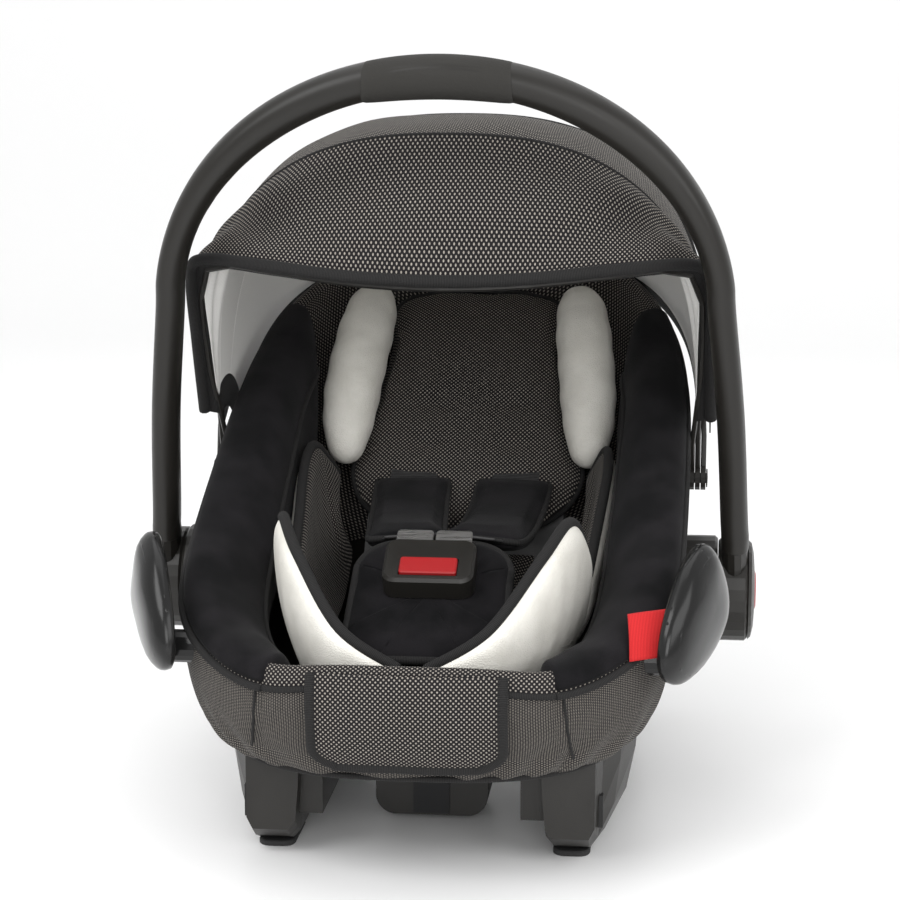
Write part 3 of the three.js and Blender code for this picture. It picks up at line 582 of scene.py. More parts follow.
def pillow(name, edge, place, thick, crown, materials, rings=34, dent=None):
    """A crowned cushion inside an outline. edge is a list of (x, y) in millimetres; place puts it in the frame."""
    around = len(edge)
    verts, uvs, faces = [], [], []
    cx = sum(x for x, _ in edge) / around
    cy = sum(y for _, y in edge) / around
    half_x = max(abs(x - cx) for x, _ in edge)
    half_y = max(abs(y - cy) for _, y in edge)

    def point(x, y, rho, side):
        rim = math.sqrt(max(0.0, 1 - rho ** 10))
        z = side * thick / 2 * rim
        if side > 0:
            across = 1 - min(1.0, abs((x - cx) / half_x)) ** 2.4
            along = 1 - min(1.0, abs((y - cy) / half_y)) ** 2.4
            z += crown * across * along + (dent(x, y) * rim if dent else 0.0)
        return place @ Vector((x * MM, y * MM, z * MM))

    starts = []
    for side in (1, -1):
        count = rings if side > 0 else rings - 1
        starts.append(len(verts))
        verts.append(point(cx, cy, 0.0, side))
        uvs.append((cx * MM, cy * MM))
        for j in range(1, count + 1):
            rho = math.sin(math.pi / 2 * j / rings)
            for x, y in edge:
                px, py = lerp(cx, x, rho), lerp(cy, y, rho)
                verts.append(point(px, py, rho, side))
                uvs.append((px * MM, py * MM))
        base = starts[-1]
        for k in range(around):
            m = (k + 1) % around
            faces.append((base, base + 1 + k, base + 1 + m))
            for j in range(count - 1):
                a = base + 1 + j * around
                faces.append((a + k, a + around + k, a + around + m, a + m))
    rim = starts[0] + 1 + (rings - 1) * around
    under = starts[1] + 1 + (rings - 2) * around
    for k in range(around):
        m = (k + 1) % around
        faces.append((rim + k, under + k, under + m, rim + m))
    return outward(mesh_object(name, verts, faces, materials, uvs))


OUTLINE_POINTS = 224


def rounded_outline(width, length, radius, per_corner=14):
    """A rounded rectangle about the origin, as a ring of (x, y)."""
    points = []
    for cx, cy, start in ((1, 1, 0), (-1, 1, 90), (-1, -1, 180), (1, -1, 270)):
        for k in range(per_corner):
            a = math.radians(start + 90 * k / (per_corner - 1))
            x = cx * (width / 2 - radius) + radius * math.cos(a)
            points.append((x, cy * (length / 2 - radius) + radius * math.sin(a)))
    ring = [Vector((x, y, 0)) for x, y in points]
    return [(p.x, p.y) for p in spline(ring, OUTLINE_POINTS, closed=True)]


def slope(y, z, degrees):
    """A plane with X across, Y up the slope and Z out of it."""
    return Matrix.Translation(seat(0, y, z)) @ Matrix.Rotation(math.radians(degrees), 4, "X")


BACK = slope(60, 170, 45)
LAP = slope(-160, 158, 28)


STUFFING_FRAMES = 16
STUFFING_PRESSURE = 3.5
STUFFING_STIFFNESS = 12


def stuff(obj, limit):
    """Swells a closed form like stuffed cloth, then keeps each point within limit millimetres of its place."""
    rest = [v.co.copy() for v in obj.data.vertices]
    cloth = modifier(obj, "CLOTH")
    settings = cloth.settings
    settings.quality = 5
    settings.mass = 0.2
    settings.use_pressure = True
    settings.uniform_pressure_force = STUFFING_PRESSURE
    settings.effector_weights.gravity = 0
    settings.tension_stiffness = STUFFING_STIFFNESS
    settings.compression_stiffness = STUFFING_STIFFNESS
    settings.bending_stiffness = 0.4
    cloth.point_cache.frame_start = 1
    cloth.point_cache.frame_end = STUFFING_FRAMES
    for number in range(1, STUFFING_FRAMES + 1):
        bpy.context.scene.frame_set(number)
    depsgraph = bpy.context.evaluated_depsgraph_get()
    swollen = obj.evaluated_get(depsgraph).to_mesh()
    moved = [v.co.copy() for v in swollen.vertices]
    obj.evaluated_get(depsgraph).to_mesh_clear()
    obj.modifiers.remove(cloth)
    bpy.context.scene.frame_set(1)
    for vertex, old, new in zip(obj.data.vertices, rest, moved):
        step = new - old
        reach = limit * MM
        vertex.co = old + (step * (reach / step.length) if step.length > reach else step)
    obj.data.update()
    return obj


def padded_piece(obj, slot, node):
    fit(obj, "seat", slot, node)


# ------------------------------------ suede side lobes

LOBE_FRONT, LOBE_BACK = -1.18, 0.55


def lobe_ring(t, side):
    """A section of the side lobe: over the rim and down the inside wall."""
    s = lerp(LOBE_FRONT, LOBE_BACK, t)
    end = min(t / 0.16, (1 - t) / 0.10, 1.0)
    fill = 0.30 + 0.70 * math.sqrt(max(0.0, 1 - (1 - end) ** 2))
    thick = lerp(31, 23, smooth((s + 0.2) / 0.6)) * fill
    puffy = 1.4 * math.sin(s * 17) * math.sin(s * 5.3)
    section = [
        (0.04, -1.5, 3), (0.0, 0.5, 12), (0.0, 6, 16.5 + puffy), (0.0, 13, 18.5 + puffy),
        (0.0, 20 + thick * 0.3, 17 + puffy), (0.0, 20 + thick * 0.65, 10 + puffy),
        (0.03, 20 + thick * 0.92, 2), (0.12, 20 + thick, 0), (0.24, 21.5 + thick + puffy, 0),
        (0.38, 21 + thick, 0), (0.50, 20 + thick * 0.85, 0), (0.57, 20 + thick * 0.5, 0),
        (0.56, 20 + thick * 0.2, 0), (0.4, 20.5, 0), (0.2, 19.5, 0), (0.0, 17.5, 3), (0.0, 10, 14.4), (0.0, 3, 11),
    ]
    return [on_side(bowl(level, s, inset, lift), side) for level, inset, lift in section]


for side, label in SIDES:
    rings = [lobe_ring(i / 64, side) for i in range(65)]
    lobe = closed_loft("side_lobe_" + label, rings, ["suede"])
    modifier(lobe, "SUBSURF", levels=1, render_levels=1)
    padded_piece(lobe, "suede", "side_bolster_" + label)
    outer = [ring[0] for ring in rings]
    piping("lobe_piping_outer_" + label, outer, "seat", radius=0.0022)
    crest = [ring[7] + (ring[7] - ring[14]).normalized() * 0.0006 for ring in rings[2:-2]]
    piping("lobe_piping_inner_" + label, crest, "seat", radius=0.0019)

# ------------------------------------ newborn insert

LOWER_TOP = [(9, -262, 142), (48, -255, 166), (80, -222, 207), (95, -187, 224), (101, -146, 206), (103, -112, 176)]
LOWER_FOOT = [(10, -246, 118), (38, -238, 112), (62, -212, 110), (74, -178, 110), (80, -144, 110), (82, -114, 110)]
UPPER_TOP = [(104, -98, 168), (109, -40, 196), (113, 10, 222), (111, 40, 231), (104, 58, 218), (98, 70, 204)]
UPPER_FOOT = [(84, -98, 110), (87, -40, 111), (88, 0, 115), (88, 26, 124), (86, 40, 136), (84, 50, 148)]
PETAL_THICK = 15
PETAL_COLUMNS, PETAL_ROWS = 56, 18
BABY = seat(0, -60, 230)
FACES_BABY = 0.12
PETAL_BULGE = Vector((6, -2, -3)) * MM


def petal(name, top, foot, side):
    """A padded wing: patterned cloth towards the baby, coated cloth outside, bound along its edge."""
    across, up = PETAL_COLUMNS, PETAL_ROWS
    top = [on_side(p, side) for p in spline([seat(*p) for p in top], across + 1)]
    foot = [on_side(p, side) for p in spline([seat(*p) for p in foot], across + 1)]
    bulge = Vector((PETAL_BULGE.x * side, PETAL_BULGE.y, PETAL_BULGE.z))
    grid = [[foot[i].lerp(top[i], j / up) + bulge * math.sin(math.pi * j / up) for i in range(across + 1)]
            for j in range(up + 1)]

    def offset(i, j, face):
        du = grid[j][min(i + 1, across)] - grid[j][max(i - 1, 0)]
        dv = grid[min(j + 1, up)][i] - grid[max(j - 1, 0)][i]
        normal = du.cross(dv).normalized() * side
        edge = min(1.0, 5 * min(i / across, 1 - i / across, 1 - j / up))
        quilted = 0.6 * math.sin(i * 0.8) * math.sin(math.pi * j / up)
        deep = PETAL_THICK * (0.30 + 0.70 * math.sqrt(max(0.0, 1 - (1 - edge) ** 2))) + quilted
        return grid[j][i] + normal * (face * deep / 2 * MM)

    verts, uvs = [], []
    for face in (1, -1):
        rows = [[offset(i, j, face) for i in range(across + 1)] for j in range(up + 1)]
        verts += [p for row in rows for p in row]
        uvs += arc_uvs(rows)
    wide = across + 1
    half = wide * (up + 1)
    faces = []
    for j in range(up):
        for i in range(across):
            a = j * wide + i
            faces.append((a, a + 1, a + 1 + wide, a + wide))
            faces.append((half + a, half + a + wide, half + a + 1 + wide, half + a + 1))
    border = [*range(wide)] + [j * wide + across for j in range(1, up + 1)]
    border += [up * wide + i for i in range(across - 1, -1, -1)] + [j * wide for j in range(up - 1, 0, -1)]
    for a, b in zip(border, border[1:] + border[:1]):
        faces.append((a, half + a, half + b, b))
    obj = outward(mesh_object(name, verts, faces, ["dotted_fabric", "cream_leatherette"], uvs))
    for polygon in obj.data.polygons:
        towards_baby = polygon.normal.dot((BABY - polygon.center).normalized()) > FACES_BABY
        polygon.material_index = 0 if towards_baby else 1
    return obj, top


for side, label in SIDES:
    for level, top, foot in (("lower", LOWER_TOP, LOWER_FOOT), ("upper", UPPER_TOP, UPPER_FOOT)):
        wing, edge = petal(f"{level}_petal_pad_{label}", top, foot, side)
        modifier(wing, "SUBSURF", levels=1, render_levels=1)
        padded_piece(wing, "cream_leatherette", f"{level}_petal_{label}")
        piping(f"{level}_petal_binding_{label}", edge, "seat", radius=0.0038)

# ------------------------------------ back rest, head pad and seat pad


def back_outline():
    """The back pad's outline: wide at the seat, narrower at the head."""
    sides = [(80, 16), (89, 38), (88, 60), (82, 100), (75, 150), (68, 205), (40, 221)]
    points = [(-60, -2), (-30, -12), (0, -13), (30, -12), (60, -2), *sides, (0, 224)]
    points += [(-x, y) for x, y in sides[::-1]]
    return [(p.x, p.y) for p in spline([Vector((x, y, 0)) for x, y in points], 120, closed=True)]


def back_dent(x, y):
    """The hollow for the head, and the pull of the harness slots."""
    slots = sum(bump(abs(x), 32, 14) * bump(y, at, 9) for at in (62, 100))
    return -3.0 * bump(x, 0, 50) * bump(y, 150, 60) - 3.5 * slots


def edge_loop(edge, place):
    return [place @ Vector((x * MM, y * MM, 0)) for x, y in edge]


BACK_EDGE = back_outline()
BACK_PLACE = BACK @ Matrix.Translation((0, 0.006, -0.008))
back = pillow("back_pad_cushion", BACK_EDGE, BACK_PLACE, 15, 5, ["dotted_fabric"], dent=back_dent)
padded_piece(stuff(back, 5), "dotted_fabric", "back_pad")
piping("back_pad_piping", edge_loop(BACK_EDGE, BACK_PLACE), "seat", closed=True)

OUT_OF_BACK = Vector((0, -0.707, 0.707))
HEAD_SPINE = [(94, 46, 10), (94, 80, 17), (92, 112, 23), (88, 150, 25), (84, 185, 22), (80, 208, 16)]
for side, label in SIDES:
    spine = [BACK @ (Vector((x * side, y, z)) * MM) for x, y, z in HEAD_SPINE]
    path = spline(spine, 34)
    rings = []
    for i, (p, (_, across_way, out)) in enumerate(zip(path, frames(path, up=OUT_OF_BACK))):
        t = i / (len(path) - 1)
        fill = math.sqrt(max(0.02, 1 - abs(2 * t - 1) ** 3.2))
        wrinkle = 1 + 0.025 * math.sin(t * 41)
        section = oval(44 * fill * wrinkle * MM, 46 * fill * wrinkle * MM, 0.9, 28)
        rings.append([p + across_way * x + out * y for x, y in section])
    roll = closed_loft("head_roll_" + label, rings, ["cream_leatherette"])
    padded_piece(stuff(roll, 4), "cream_leatherette", "head_bolster_" + label)
    modifier(roll, "SUBSURF", levels=1, render_levels=1)

SEAT_PAD_LINE = [(-205, 109), (-130, 107), (-60, 107), (-10, 109), (20, 118), (40, 134), (52, 150)]
pad_line = spline([seat(0, y, z) for y, z in SEAT_PAD_LINE], 46)
pad_rings = []
for i, (p, (_, across_way, out)) in enumerate(zip(pad_line, frames(pad_line, up=Vector((0, -0.3, 1))))):
    t = i / (len(pad_line) - 1)
    fill = math.sqrt(max(0.03, 1 - abs(2 * t - 1) ** 7))
    channel = 1 - 0.16 * (bump(t, 0.33, 0.03) + bump(t, 0.66, 0.03))
    section = oval(112 * MM, 14 * fill * channel * MM, 0.55, 40)
    pad_rings.append([p + across_way * x + out * y for x, y in section])
seat_pad = closed_loft("seat_pad_cushion", pad_rings, ["dotted_fabric"])
padded_piece(stuff(seat_pad, 4), "dotted_fabric", "insert_seat_pad")

# ------------------------------------ harness

CROTCH_EDGE = rounded_outline(106, 118, 30)
CROTCH_PLACE = LAP @ Matrix.Translation((0, 0, 0.0055))


def pocket_line(x, y):
    """The stitched pocket mouth across the crotch pad, and its quilting."""
    return -2.2 * bump(y, 14, 4.5) - 0.6 * bump(abs(x), 38, 9)


crotch = pillow("crotch_pad_cushion", CROTCH_EDGE, CROTCH_PLACE, 11, 3, ["suede"], dent=pocket_line)
padded_piece(stuff(crotch, 4), "suede", "crotch_pad")
piping("crotch_pad_piping", edge_loop(CROTCH_EDGE, CROTCH_PLACE), "seat", closed=True, radius=0.0030)

ROUTE = [(40, 96, 208), (38, 50, 190), (34, -4, 181), (29, -54, 183), (21, -95, 193)]
ROUTE_POINTS = 80
PAD_FROM, PAD_TO = 0.14, 0.84
STRAP_UP = Vector((0, -0.2, 1))
PAD_WIDTH, PAD_DEPTH, PAD_EDGE = 0.058, 0.015, 0.0275
for side, label in SIDES:
    route = spline([on_side(seat(*p), side) for p in ROUTE], ROUTE_POINTS)
    flat_webbing = oval(0.036, 0.0018, 0.25, 20)
    strap = sweep("shoulder_webbing_" + label, route, lambda t: flat_webbing, ["webbing"], up=STRAP_UP)
    fit(strap, "seat", "webbing", "shoulder_strap_" + label)
    covered = route[int(PAD_FROM * ROUTE_POINTS):int(PAD_TO * ROUTE_POINTS)]

    def pad_section(t):
        fill = math.sqrt(max(0.05, 1 - abs(2 * t - 1) ** 6))
        return oval(PAD_WIDTH * (0.90 + 0.10 * fill), PAD_DEPTH * (0.45 + 0.55 * fill), 0.55, 36)

    pad = sweep("shoulder_pad_cushion_" + label, covered, pad_section, ["suede"], up=STRAP_UP)
    padded_piece(stuff(pad, 3), "suede", "shoulder_pad_" + label)
    edge = []
    for reach in (1, -1):
        line = [p + a * (reach * PAD_EDGE) for p, (_, a, _) in zip(covered, frames(covered, up=STRAP_UP))]
        edge += line if reach > 0 else line[::-1]
    piping("shoulder_pad_piping_" + label, edge, "seat", closed=True, radius=0.0024)

# ------------------------------------ front flap

FLAP_HALF, FLAP_LOW, FLAP_HIGH = 61, 84, 147
FLAP_OFF = 4.4


def flap_point(s, t):
    """The flap that hangs over the front of the cover and hides the adjuster."""
    z = lerp(FLAP_LOW, FLAP_HIGH, t)
    corner = 1 - 0.25 * (1 - t / 0.2) ** 2 if t < 0.2 else 1.0
    x = lerp(-FLAP_HALF, FLAP_HALF, s) * corner
    level = clamp((RIM_FRONT[1] - min(z, RIM_FRONT[1])) / (RIM_FRONT[1] - BASE_FRONT[1]))
    face = lerp(RIM_FRONT[0], BASE_FRONT[0], level * level)
    top = ((z - 128) / 18) ** 2 * 3 if z > 128 else 0.0
    ripple = 0.7 * math.sin(s * 11) * (1 - t)
    return seat(x, face + 5 * (x / FLAP_HALF) ** 2 + top - FLAP_OFF - ripple, z)


flap = surface("front_flap_cloth", flap_point, 60, 30, ["dotted_fabric"])
modifier(flap, "SOLIDIFY", thickness=CLOTH_THICK, offset=0)
fit(flap, "seat", "dotted_fabric", "front_flap")
flap_edge = [flap_point(0, 1 - k / 20) for k in range(20)] + [flap_point(k / 40, 0) for k in range(40)]
flap_edge += [flap_point(1, k / 20) for k in range(21)]
piping("front_flap_binding", flap_edge, "seat", radius=0.0036)

# ------------------------------------ side tag

TAG_WIDE, TAG_LONG = 28, 31
TAG_ROOT = (150, -232, 177)
TAG_ALONG = Vector((0.96, 0.26, 0.10)).normalized()
TAG_DOWN = Vector((0.06, -0.40, -0.91)).normalized()


def tag_point(s, t):
    """A plain folded tag sewn into the seam beside the suede, hanging over the front of the rim."""
    out = TAG_ALONG.cross(TAG_DOWN).normalized()
    out = out if out.y < 0 else -out
    lift = 2.5 * math.sin(math.pi * t * 0.9) + 0.8 * math.sin(s * 5)
    return seat(*TAG_ROOT) + (TAG_ALONG * (s - 0.5) * TAG_WIDE + TAG_DOWN * t * TAG_LONG + out * lift) * MM


tag = surface("side_tag", tag_point, 12, 16, ["red_cloth"])
modifier(tag, "SOLIDIFY", thickness=0.0009, offset=0)
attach(tag, "seat")

# ------------------------------------ canopy

HOOD_HALF, HOOD_RADIUS, HOOD_START = 187.5, 270, 3
HOOD_POWER_X, HOOD_POWER_R = 2.5, 3.5
HOOD_MID, HOOD_REAR, HOOD_SHELL = 72.5, 103.0, 144.5
HOOD_TUCK = 3.5
HOOD_MIDDLE = seat(0, CANOPY_FORWARD / MM, 228)
PIVOT_Z = 213
VISOR_HALF = [(187, 8, 262), (186.5, -18, 318), (185, -41, 366), (173, -59, 382), (122, -88, 381), (62, -104, 376)]
VISOR_ANGLE = 48.0


def hood_point(u, degrees, inset=0.0):
    """A point on the hood's dome: u runs from the right pivot over the top to the left one."""
    turn = math.radians(lerp(HOOD_START, 180 - HOOD_START, u))
    r = (HOOD_RADIUS - inset) * math.sin(turn) ** (2 / HOOD_POWER_R)
    x = (HOOD_HALF - inset) * spow(math.cos(turn), 2 / HOOD_POWER_X)
    a = math.radians(degrees)
    return seat(x, CANOPY_FORWARD / MM - r * math.cos(a), PIVOT_Z + r * math.sin(a))


def inward(p, depth):
    return p + (HOOD_MIDDLE - p).normalized() * depth


def even(points, count):
    """count points at equal distances along a line."""
    lengths = [0.0]
    for a, b in zip(points, points[1:]):
        lengths.append(lengths[-1] + (b - a).length)
    result = []
    k = 0
    for i in range(count):
        want = lengths[-1] * i / (count - 1)
        while k < len(points) - 2 and lengths[k + 1] < want:
            k += 1
        step = lengths[k + 1] - lengths[k]
        result.append(points[k].lerp(points[k + 1], clamp((want - lengths[k]) / max(step, 1e-9))))
    return result


ACROSS = 220
DOWN = 44
visor_right = [seat(*p) for p in VISOR_HALF]
visor_line = [*visor_right, seat(0, -109, 374), *mirrored(visor_right)[::-1]]
VISOR = even(spline(visor_line, 900), ACROSS + 1)


def front_cloth(s, t):
    """From the front edge back to the middle hoop, with slack folds running down from the corners."""
    i = round(s * ACROSS)
    p = VISOR[i].lerp(hood_point(s, HOOD_MID - 0.1), t)
    swell = 5 * math.sin(math.pi * t) * math.sin(math.pi * s)
    corner = min(abs(s - 0.24), abs(s - 0.76))
    folds = 4.0 * math.sin(34 * corner + 7 * t) * math.exp(-((corner / 0.13) ** 2))
    drape = 2.2 * math.sin(13 * s + 5 * t) * math.sin(math.pi * s)
    return inward(p, -(swell + (folds + drape) * math.sin(math.pi * t)) * MM)


def dome_cloth(start, stop, sag):
    def point(s, t):
        p = hood_point(s, lerp(start + 0.1, stop - 0.1, t))
        wave = 0.8 * math.sin(23 * s + 4 * t) + 0.5 * math.sin(51 * s)
        return inward(p, (sag + wave) * math.sin(math.pi * t) * math.sin(math.pi * s) * MM)
    return point


TAPE_COLUMNS = 4


def tape_edges(panel, last_rows):
    """Dark tape on a lining's two ends and on its last rows, where it is sewn to the cloth."""
    for polygon in panel.data.polygons:
        row, column = divmod(polygon.index, ACROSS)
        if min(column, ACROSS - 1 - column) < TAPE_COLUMNS or row >= DOWN - last_rows:
            polygon.material_index = 1


LINING_DEPTH = 0.0104
CANOPY_THICK = 0.0011
REAR_TAPE_ROWS = 3
PANELS = {  # shape, bodies behind and ahead, angles of the front and back edge, cloth, flat size and cut area
    "front": (front_cloth, "canopy_mid", "canopy_front", VISOR_ANGLE, HOOD_MID,
              "dotted_fabric", (0.67, 0.115), 0.042),
    "mid": (dome_cloth(HOOD_MID, HOOD_REAR, 3.0), "canopy_rear", "canopy_mid", HOOD_MID, HOOD_REAR,
            "dotted_fabric", (0.67, 0.142), 0.071),
    "rear": (dome_cloth(HOOD_REAR, HOOD_SHELL + HOOD_TUCK, 4.0), "seat", "canopy_rear", HOOD_REAR, HOOD_SHELL,
             "twill_fabric", (0.67, 0.210), 0.105),
}

for name, (shape, behind, ahead, start, stop, outer_cloth, cut, cut_area) in PANELS.items():
    for layer, depth, material in (("cloth", 0.0, outer_cloth), ("lining", LINING_DEPTH, "lining")):
        panel = surface(f"canopy_{name}_{layer}", lambda s, t: inward(shape(s, t), depth), ACROSS, DOWN,
                        [material, "binding"])
        if layer == "lining":
            tape_edges(panel, REAR_TAPE_ROWS if name == "rear" else 0)
        modifier(panel, "SOLIDIFY", thickness=CANOPY_THICK, offset=0)
        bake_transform(panel)
        if layer == "cloth":
            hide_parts(f"canopy_{name}_panel")


def facing_point(s, t):
    """A dark strip that joins the front cloth's edge to its lining."""
    return inward(VISOR[round(s * ACROSS)], lerp(0.0006, LINING_DEPTH, t))


facing = surface("canopy_front_facing", facing_point, ACROSS, 4, ["binding"])
modifier(facing, "SOLIDIFY", thickness=0.0012, offset=0)
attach(facing, "canopy_front")


def hoop_piping(label, degrees, body, radius):
    line = [inward(hood_point(i / 160, degrees), -0.0004) for i in range(161)]
    piping("canopy_piping_" + label, line, body, radius=radius)


hoop_piping("mid", HOOD_MID, "canopy_mid", 0.0012)
hoop_piping("rear", HOOD_REAR, "canopy_rear", 0.0022)
piping("canopy_front_binding", [inward(p, -0.0006) for p in VISOR], "canopy_front", radius=0.0044)

# ------------------------------------ handle

LEAN = math.radians(10.5)
LEG_X, LEG_FORWARD = 206.5, 15
SHOULDER_X, SHOULDER_H, ARCH_RISE = 194, 214, 168
BAR_WIDTH, BAR_TOP, BAR_DEPTH = 19, 25, 31
GRIP_HALF = 51
SLEEVE_FROM = 40  # the tube starts clear of the hub pocket that the button moves in
SKIN_OVER = 0.7
BAR_STEPS, GRIP_STEPS = 360, 60


def handle_point(x, h):
    """A point on the handle's plane, h above the hub along the lean."""
    y = -math.sin(LEAN) * h - math.cos(LEAN) * LEG_FORWARD
    z = math.cos(LEAN) * h - math.sin(LEAN) * LEG_FORWARD
    return Vector((x * MM, HUB.y + y * MM, HUB.z + z * MM))


HANDLE_FACING = Vector((0, -math.cos(LEAN), -math.sin(LEAN)))


def arch(angle):
    return SHOULDER_X * math.cos(angle), SHOULDER_H + ARCH_RISE * math.sin(angle)


leg = [(LEG_X, SLEEVE_FROM), (LEG_X, SLEEVE_FROM + 8), (LEG_X - 1, 62), (LEG_X - 5, 138)]
bend = [arch(math.pi * k / 24) for k in range(25)]
outline = leg + bend + [(-x, h) for x, h in leg[::-1]]
flat_path = spline([Vector((x, h, 0)) for x, h in outline], BAR_STEPS + 1)
bar_path = [handle_point(p.x, p.y) for p in flat_path]


def bar_section(t):
    h = flat_path[round(t * BAR_STEPS)].y
    top = smooth((h - 250) / 120)
    return oval((BAR_DEPTH + SKIN_OVER) * MM, (lerp(BAR_WIDTH, BAR_TOP, top) + SKIN_OVER) * MM, 0.86, 28)


def across_handle(path):
    """For a sweep along the handle: the way across it, in its own plane, at point i."""
    def way(i):
        a = path[max(i - 1, 0)]
        b = path[min(i + 1, len(path) - 1)]
        return (b - a).normalized().cross(HANDLE_FACING)
    return way


tube = sweep("handle_tube", bar_path, bar_section, ["plastic"], up=across_handle(bar_path))
fit(tube, "carry_handle", "plastic")

grip_angle = math.acos(GRIP_HALF / SHOULDER_X)
grip_arc = [arch(lerp(grip_angle, math.pi - grip_angle, k / GRIP_STEPS)) for k in range(GRIP_STEPS + 1)]


def grip_swell(x):
    return 4 * math.sqrt(max(0.0, math.cos(math.pi * x / (2 * GRIP_HALF))))


grip_path = [handle_point(x, h - grip_swell(x) / 2) for x, h in grip_arc]


def grip_section(t):
    swell = grip_swell(grip_arc[round(t * GRIP_STEPS)][0])
    return oval((BAR_DEPTH + 1.6) * MM, (BAR_TOP + 1.2 + swell) * MM, 0.86, 28)


grip = sweep("handle_grip_sleeve", grip_path, grip_section, ["grip_rubber"], up=across_handle(grip_path))
fit(grip, "carry_handle", "grip_rubber", "handle_grip")

# ------------------------------------ button springs

SPRING_TURNS, SPRING_STEPS, WIRE = 4.5, 180, 0.0008
for side, label in SIDES:
    low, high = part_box("button_spring_" + label)
    inner = low.x if side > 0 else high.x
    outer = high.x if side > 0 else low.x
    coil_radius = (high.z - low.z) / 2 - WIRE
    middle = (low + high) / 2
    coil = []
    for k in range(SPRING_STEPS + 1):
        turn = 2 * math.pi * SPRING_TURNS * k / SPRING_STEPS
        x = lerp(inner + side * WIRE, outer - side * WIRE, k / SPRING_STEPS)
        coil.append(Vector((x, middle.y + coil_radius * math.cos(turn), middle.z + coil_radius * math.sin(turn))))
    wire_section = oval(2 * WIRE, 2 * WIRE, 1.0, 8)
    spring = sweep("button_spring_coil_" + label, coil, lambda t: wire_section, ["steel"])
    fit(spring, "carry_handle", "steel", "button_spring_" + label)
    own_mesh(spring)

# ------------------------------------ belt guides

GUIDE_TURN = math.radians(21)
GUIDE_AT = (180, -206, 171)
GUIDE_OUTLINE = [(12, 43), (31, 31), (46, 4), (36, -22), (6, -38), (-30, -42), (-53, -28), (-50, -5), (-34, 17),
                 (-14, 35)]
GUIDE_LAYERS = [  # share of the outline, and height
    (0.86, -6.2), (0.94, -6), (0.985, -4.6), (1.0, -1), (0.99, 1.5), (0.965, 3.4), (0.90, 6.2), (0.80, 8.9),
    (0.68, 10.5), (0.54, 11.6), (0.38, 12.3), (0.22, 12.65), (0.08, 12.75),
]
rim = spline([Vector((s, z, 0)) for s, z in GUIDE_OUTLINE], 96, closed=True)


def guide_point(p, scale, height):
    """A point on the right guide: its outline p drawn in by scale, height above the guide's middle plane."""
    ridge = 1.1 * bump(p.y * scale + 0.35 * p.x * scale, 4, 13) * clamp(height / 8)
    along = p.x * scale
    x = GUIDE_AT[0] + math.sin(GUIDE_TURN) * along + math.cos(GUIDE_TURN) * (height + ridge)
    y = GUIDE_AT[1] + math.cos(GUIDE_TURN) * along - math.sin(GUIDE_TURN) * (height + ridge)
    return seat(x, y, GUIDE_AT[2] + p.y * scale)


for side, label in SIDES:
    rings = [[on_side(guide_point(p, scale, height), side) for p in rim] for scale, height in GUIDE_LAYERS]
    fit(closed_loft("belt_guide_leaf_" + label, rings, ["gloss_plastic"]), "seat", "gloss_plastic")

# ------------------------------------ finish of the CAD pieces

NODE_SLOTS = {part["node"]: part["material_slot"] for part in frame["record"]["subparts"]}
for name, obj in frame["nodes"].items():
    material = MATERIALS[NODE_SLOTS.get(name, "plastic")]
    if not obj.material_slots:
        obj.data.materials.append(material)
    for held in obj.material_slots:
        held.material = material

# ------------------------------------ studio

SWEEP_FRONT, SWEEP_BACK, SWEEP_HALF, SWEEP_RISE, SWEEP_STEPS = -5.0, 3.2, 6.0, 3.5, 12
floor_mesh = bpy.data.meshes.new("studio_floor")
sweep_line = [(SWEEP_FRONT, 0.0), (SWEEP_BACK - 1.0, 0.0)]
for k in range(1, SWEEP_STEPS + 1):
    a = math.pi / 2 * k / SWEEP_STEPS
    sweep_line.append((SWEEP_BACK - 1 + math.sin(a), 1 - math.cos(a)))
sweep_line.append((SWEEP_BACK, SWEEP_RISE))
floor_verts = [(x, y, z) for y, z in sweep_line for x in (-SWEEP_HALF, SWEEP_HALF)]
floor_faces = [(2 * k, 2 * k + 1, 2 * k + 3, 2 * k + 2) for k in range(len(sweep_line) - 1)]
floor_mesh.from_pydata(floor_verts, [], floor_faces)
floor = bpy.data.objects.new("studio_floor", floor_mesh)
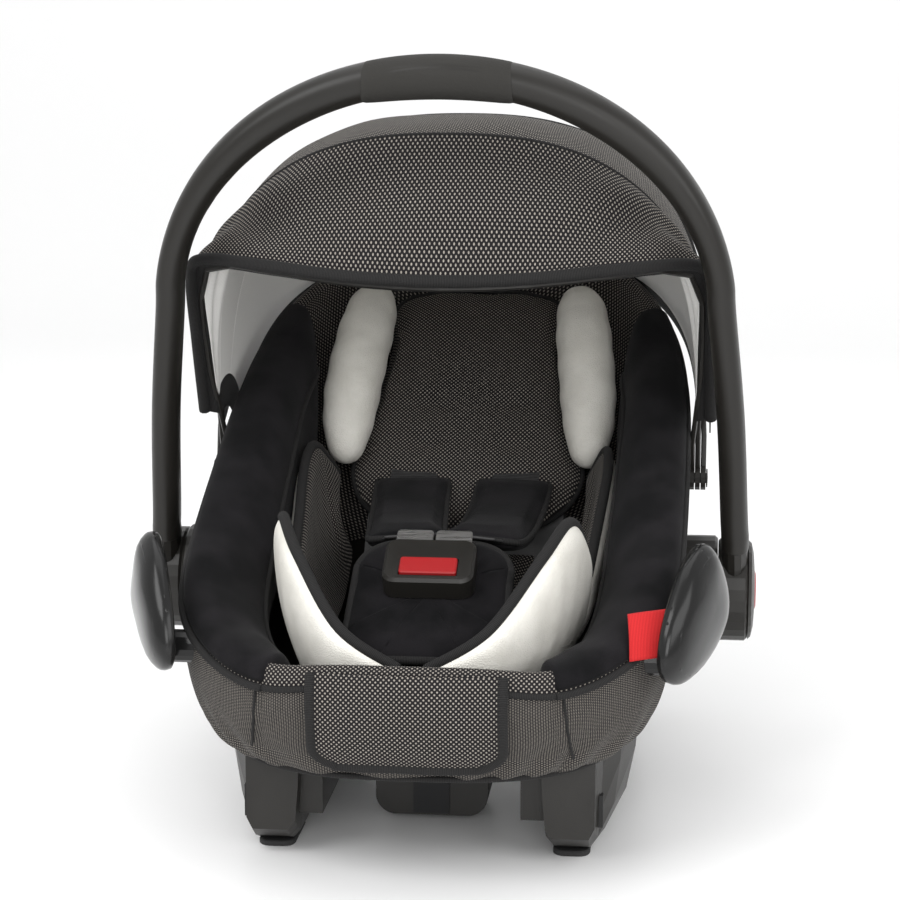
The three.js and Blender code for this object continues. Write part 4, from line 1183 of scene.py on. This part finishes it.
bpy.context.scene.collection.objects.link(floor)
for polygon in floor_mesh.polygons:
    polygon.use_smooth = True
paper = Nodes("studio_paper")
paper.shader.inputs["Base Color"].default_value = (0.93, 0.93, 0.93, 1.0)
paper.shader.inputs["Roughness"].default_value = 0.32
floor_mesh.materials.append(paper.material)

SKY_STRENGTH = 0.8
world = bpy.data.worlds.new("studio_world")
world.use_nodes = True
background = world.node_tree.nodes["Background"]
background.inputs["Color"].default_value = (1.0, 1.0, 1.0, 1.0)
background.inputs["Strength"].default_value = SKY_STRENGTH
bpy.context.scene.world = world
bpy.context.scene.view_settings.view_transform = "Standard"


def softbox(name, place, size, power):
    light = bpy.data.lights.new(name, "AREA")
    light.shape = "RECTANGLE"
    light.size, light.size_y = size
    light.energy = power
    obj = bpy.data.objects.new(name, light)
    obj.location = place
    obj.rotation_euler = (TARGET - Vector(place)).to_track_quat("-Z", "Y").to_euler()
    bpy.context.scene.collection.objects.link(obj)


TARGET = Vector((-0.003, 0.0201, 0.237))
CAMERA_TURN, CAMERA_RISE = math.radians(6.0), math.radians(10.5)
CAMERA_DISTANCE = 1.842
LENS_MM, SENSOR_MM = 100.0, 36.0
softbox("key_light", (-1.3, -1.6, 2.2), (1.6, 1.6), 38)
softbox("fill_light", (1.7, -1.5, 1.3), (1.8, 1.4), 20)
softbox("front_light", (0.3, -2.6, 0.9), (1.2, 1.0), 17)
softbox("top_light", (0.0, 0.3, 2.6), (2.2, 2.2), 16)

camera_data = bpy.data.cameras.new("camera")
camera_data.lens = LENS_MM
camera_data.sensor_width = SENSOR_MM
camera = bpy.data.objects.new("camera", camera_data)
toward = Vector((math.sin(CAMERA_TURN) * math.cos(CAMERA_RISE), -math.cos(CAMERA_TURN) * math.cos(CAMERA_RISE),
                 math.sin(CAMERA_RISE)))
camera.location = TARGET + toward * CAMERA_DISTANCE
camera.rotation_euler = (TARGET - camera.location).to_track_quat("-Z", "Y").to_euler()
bpy.context.scene.collection.objects.link(camera)
bpy.context.scene.camera = camera
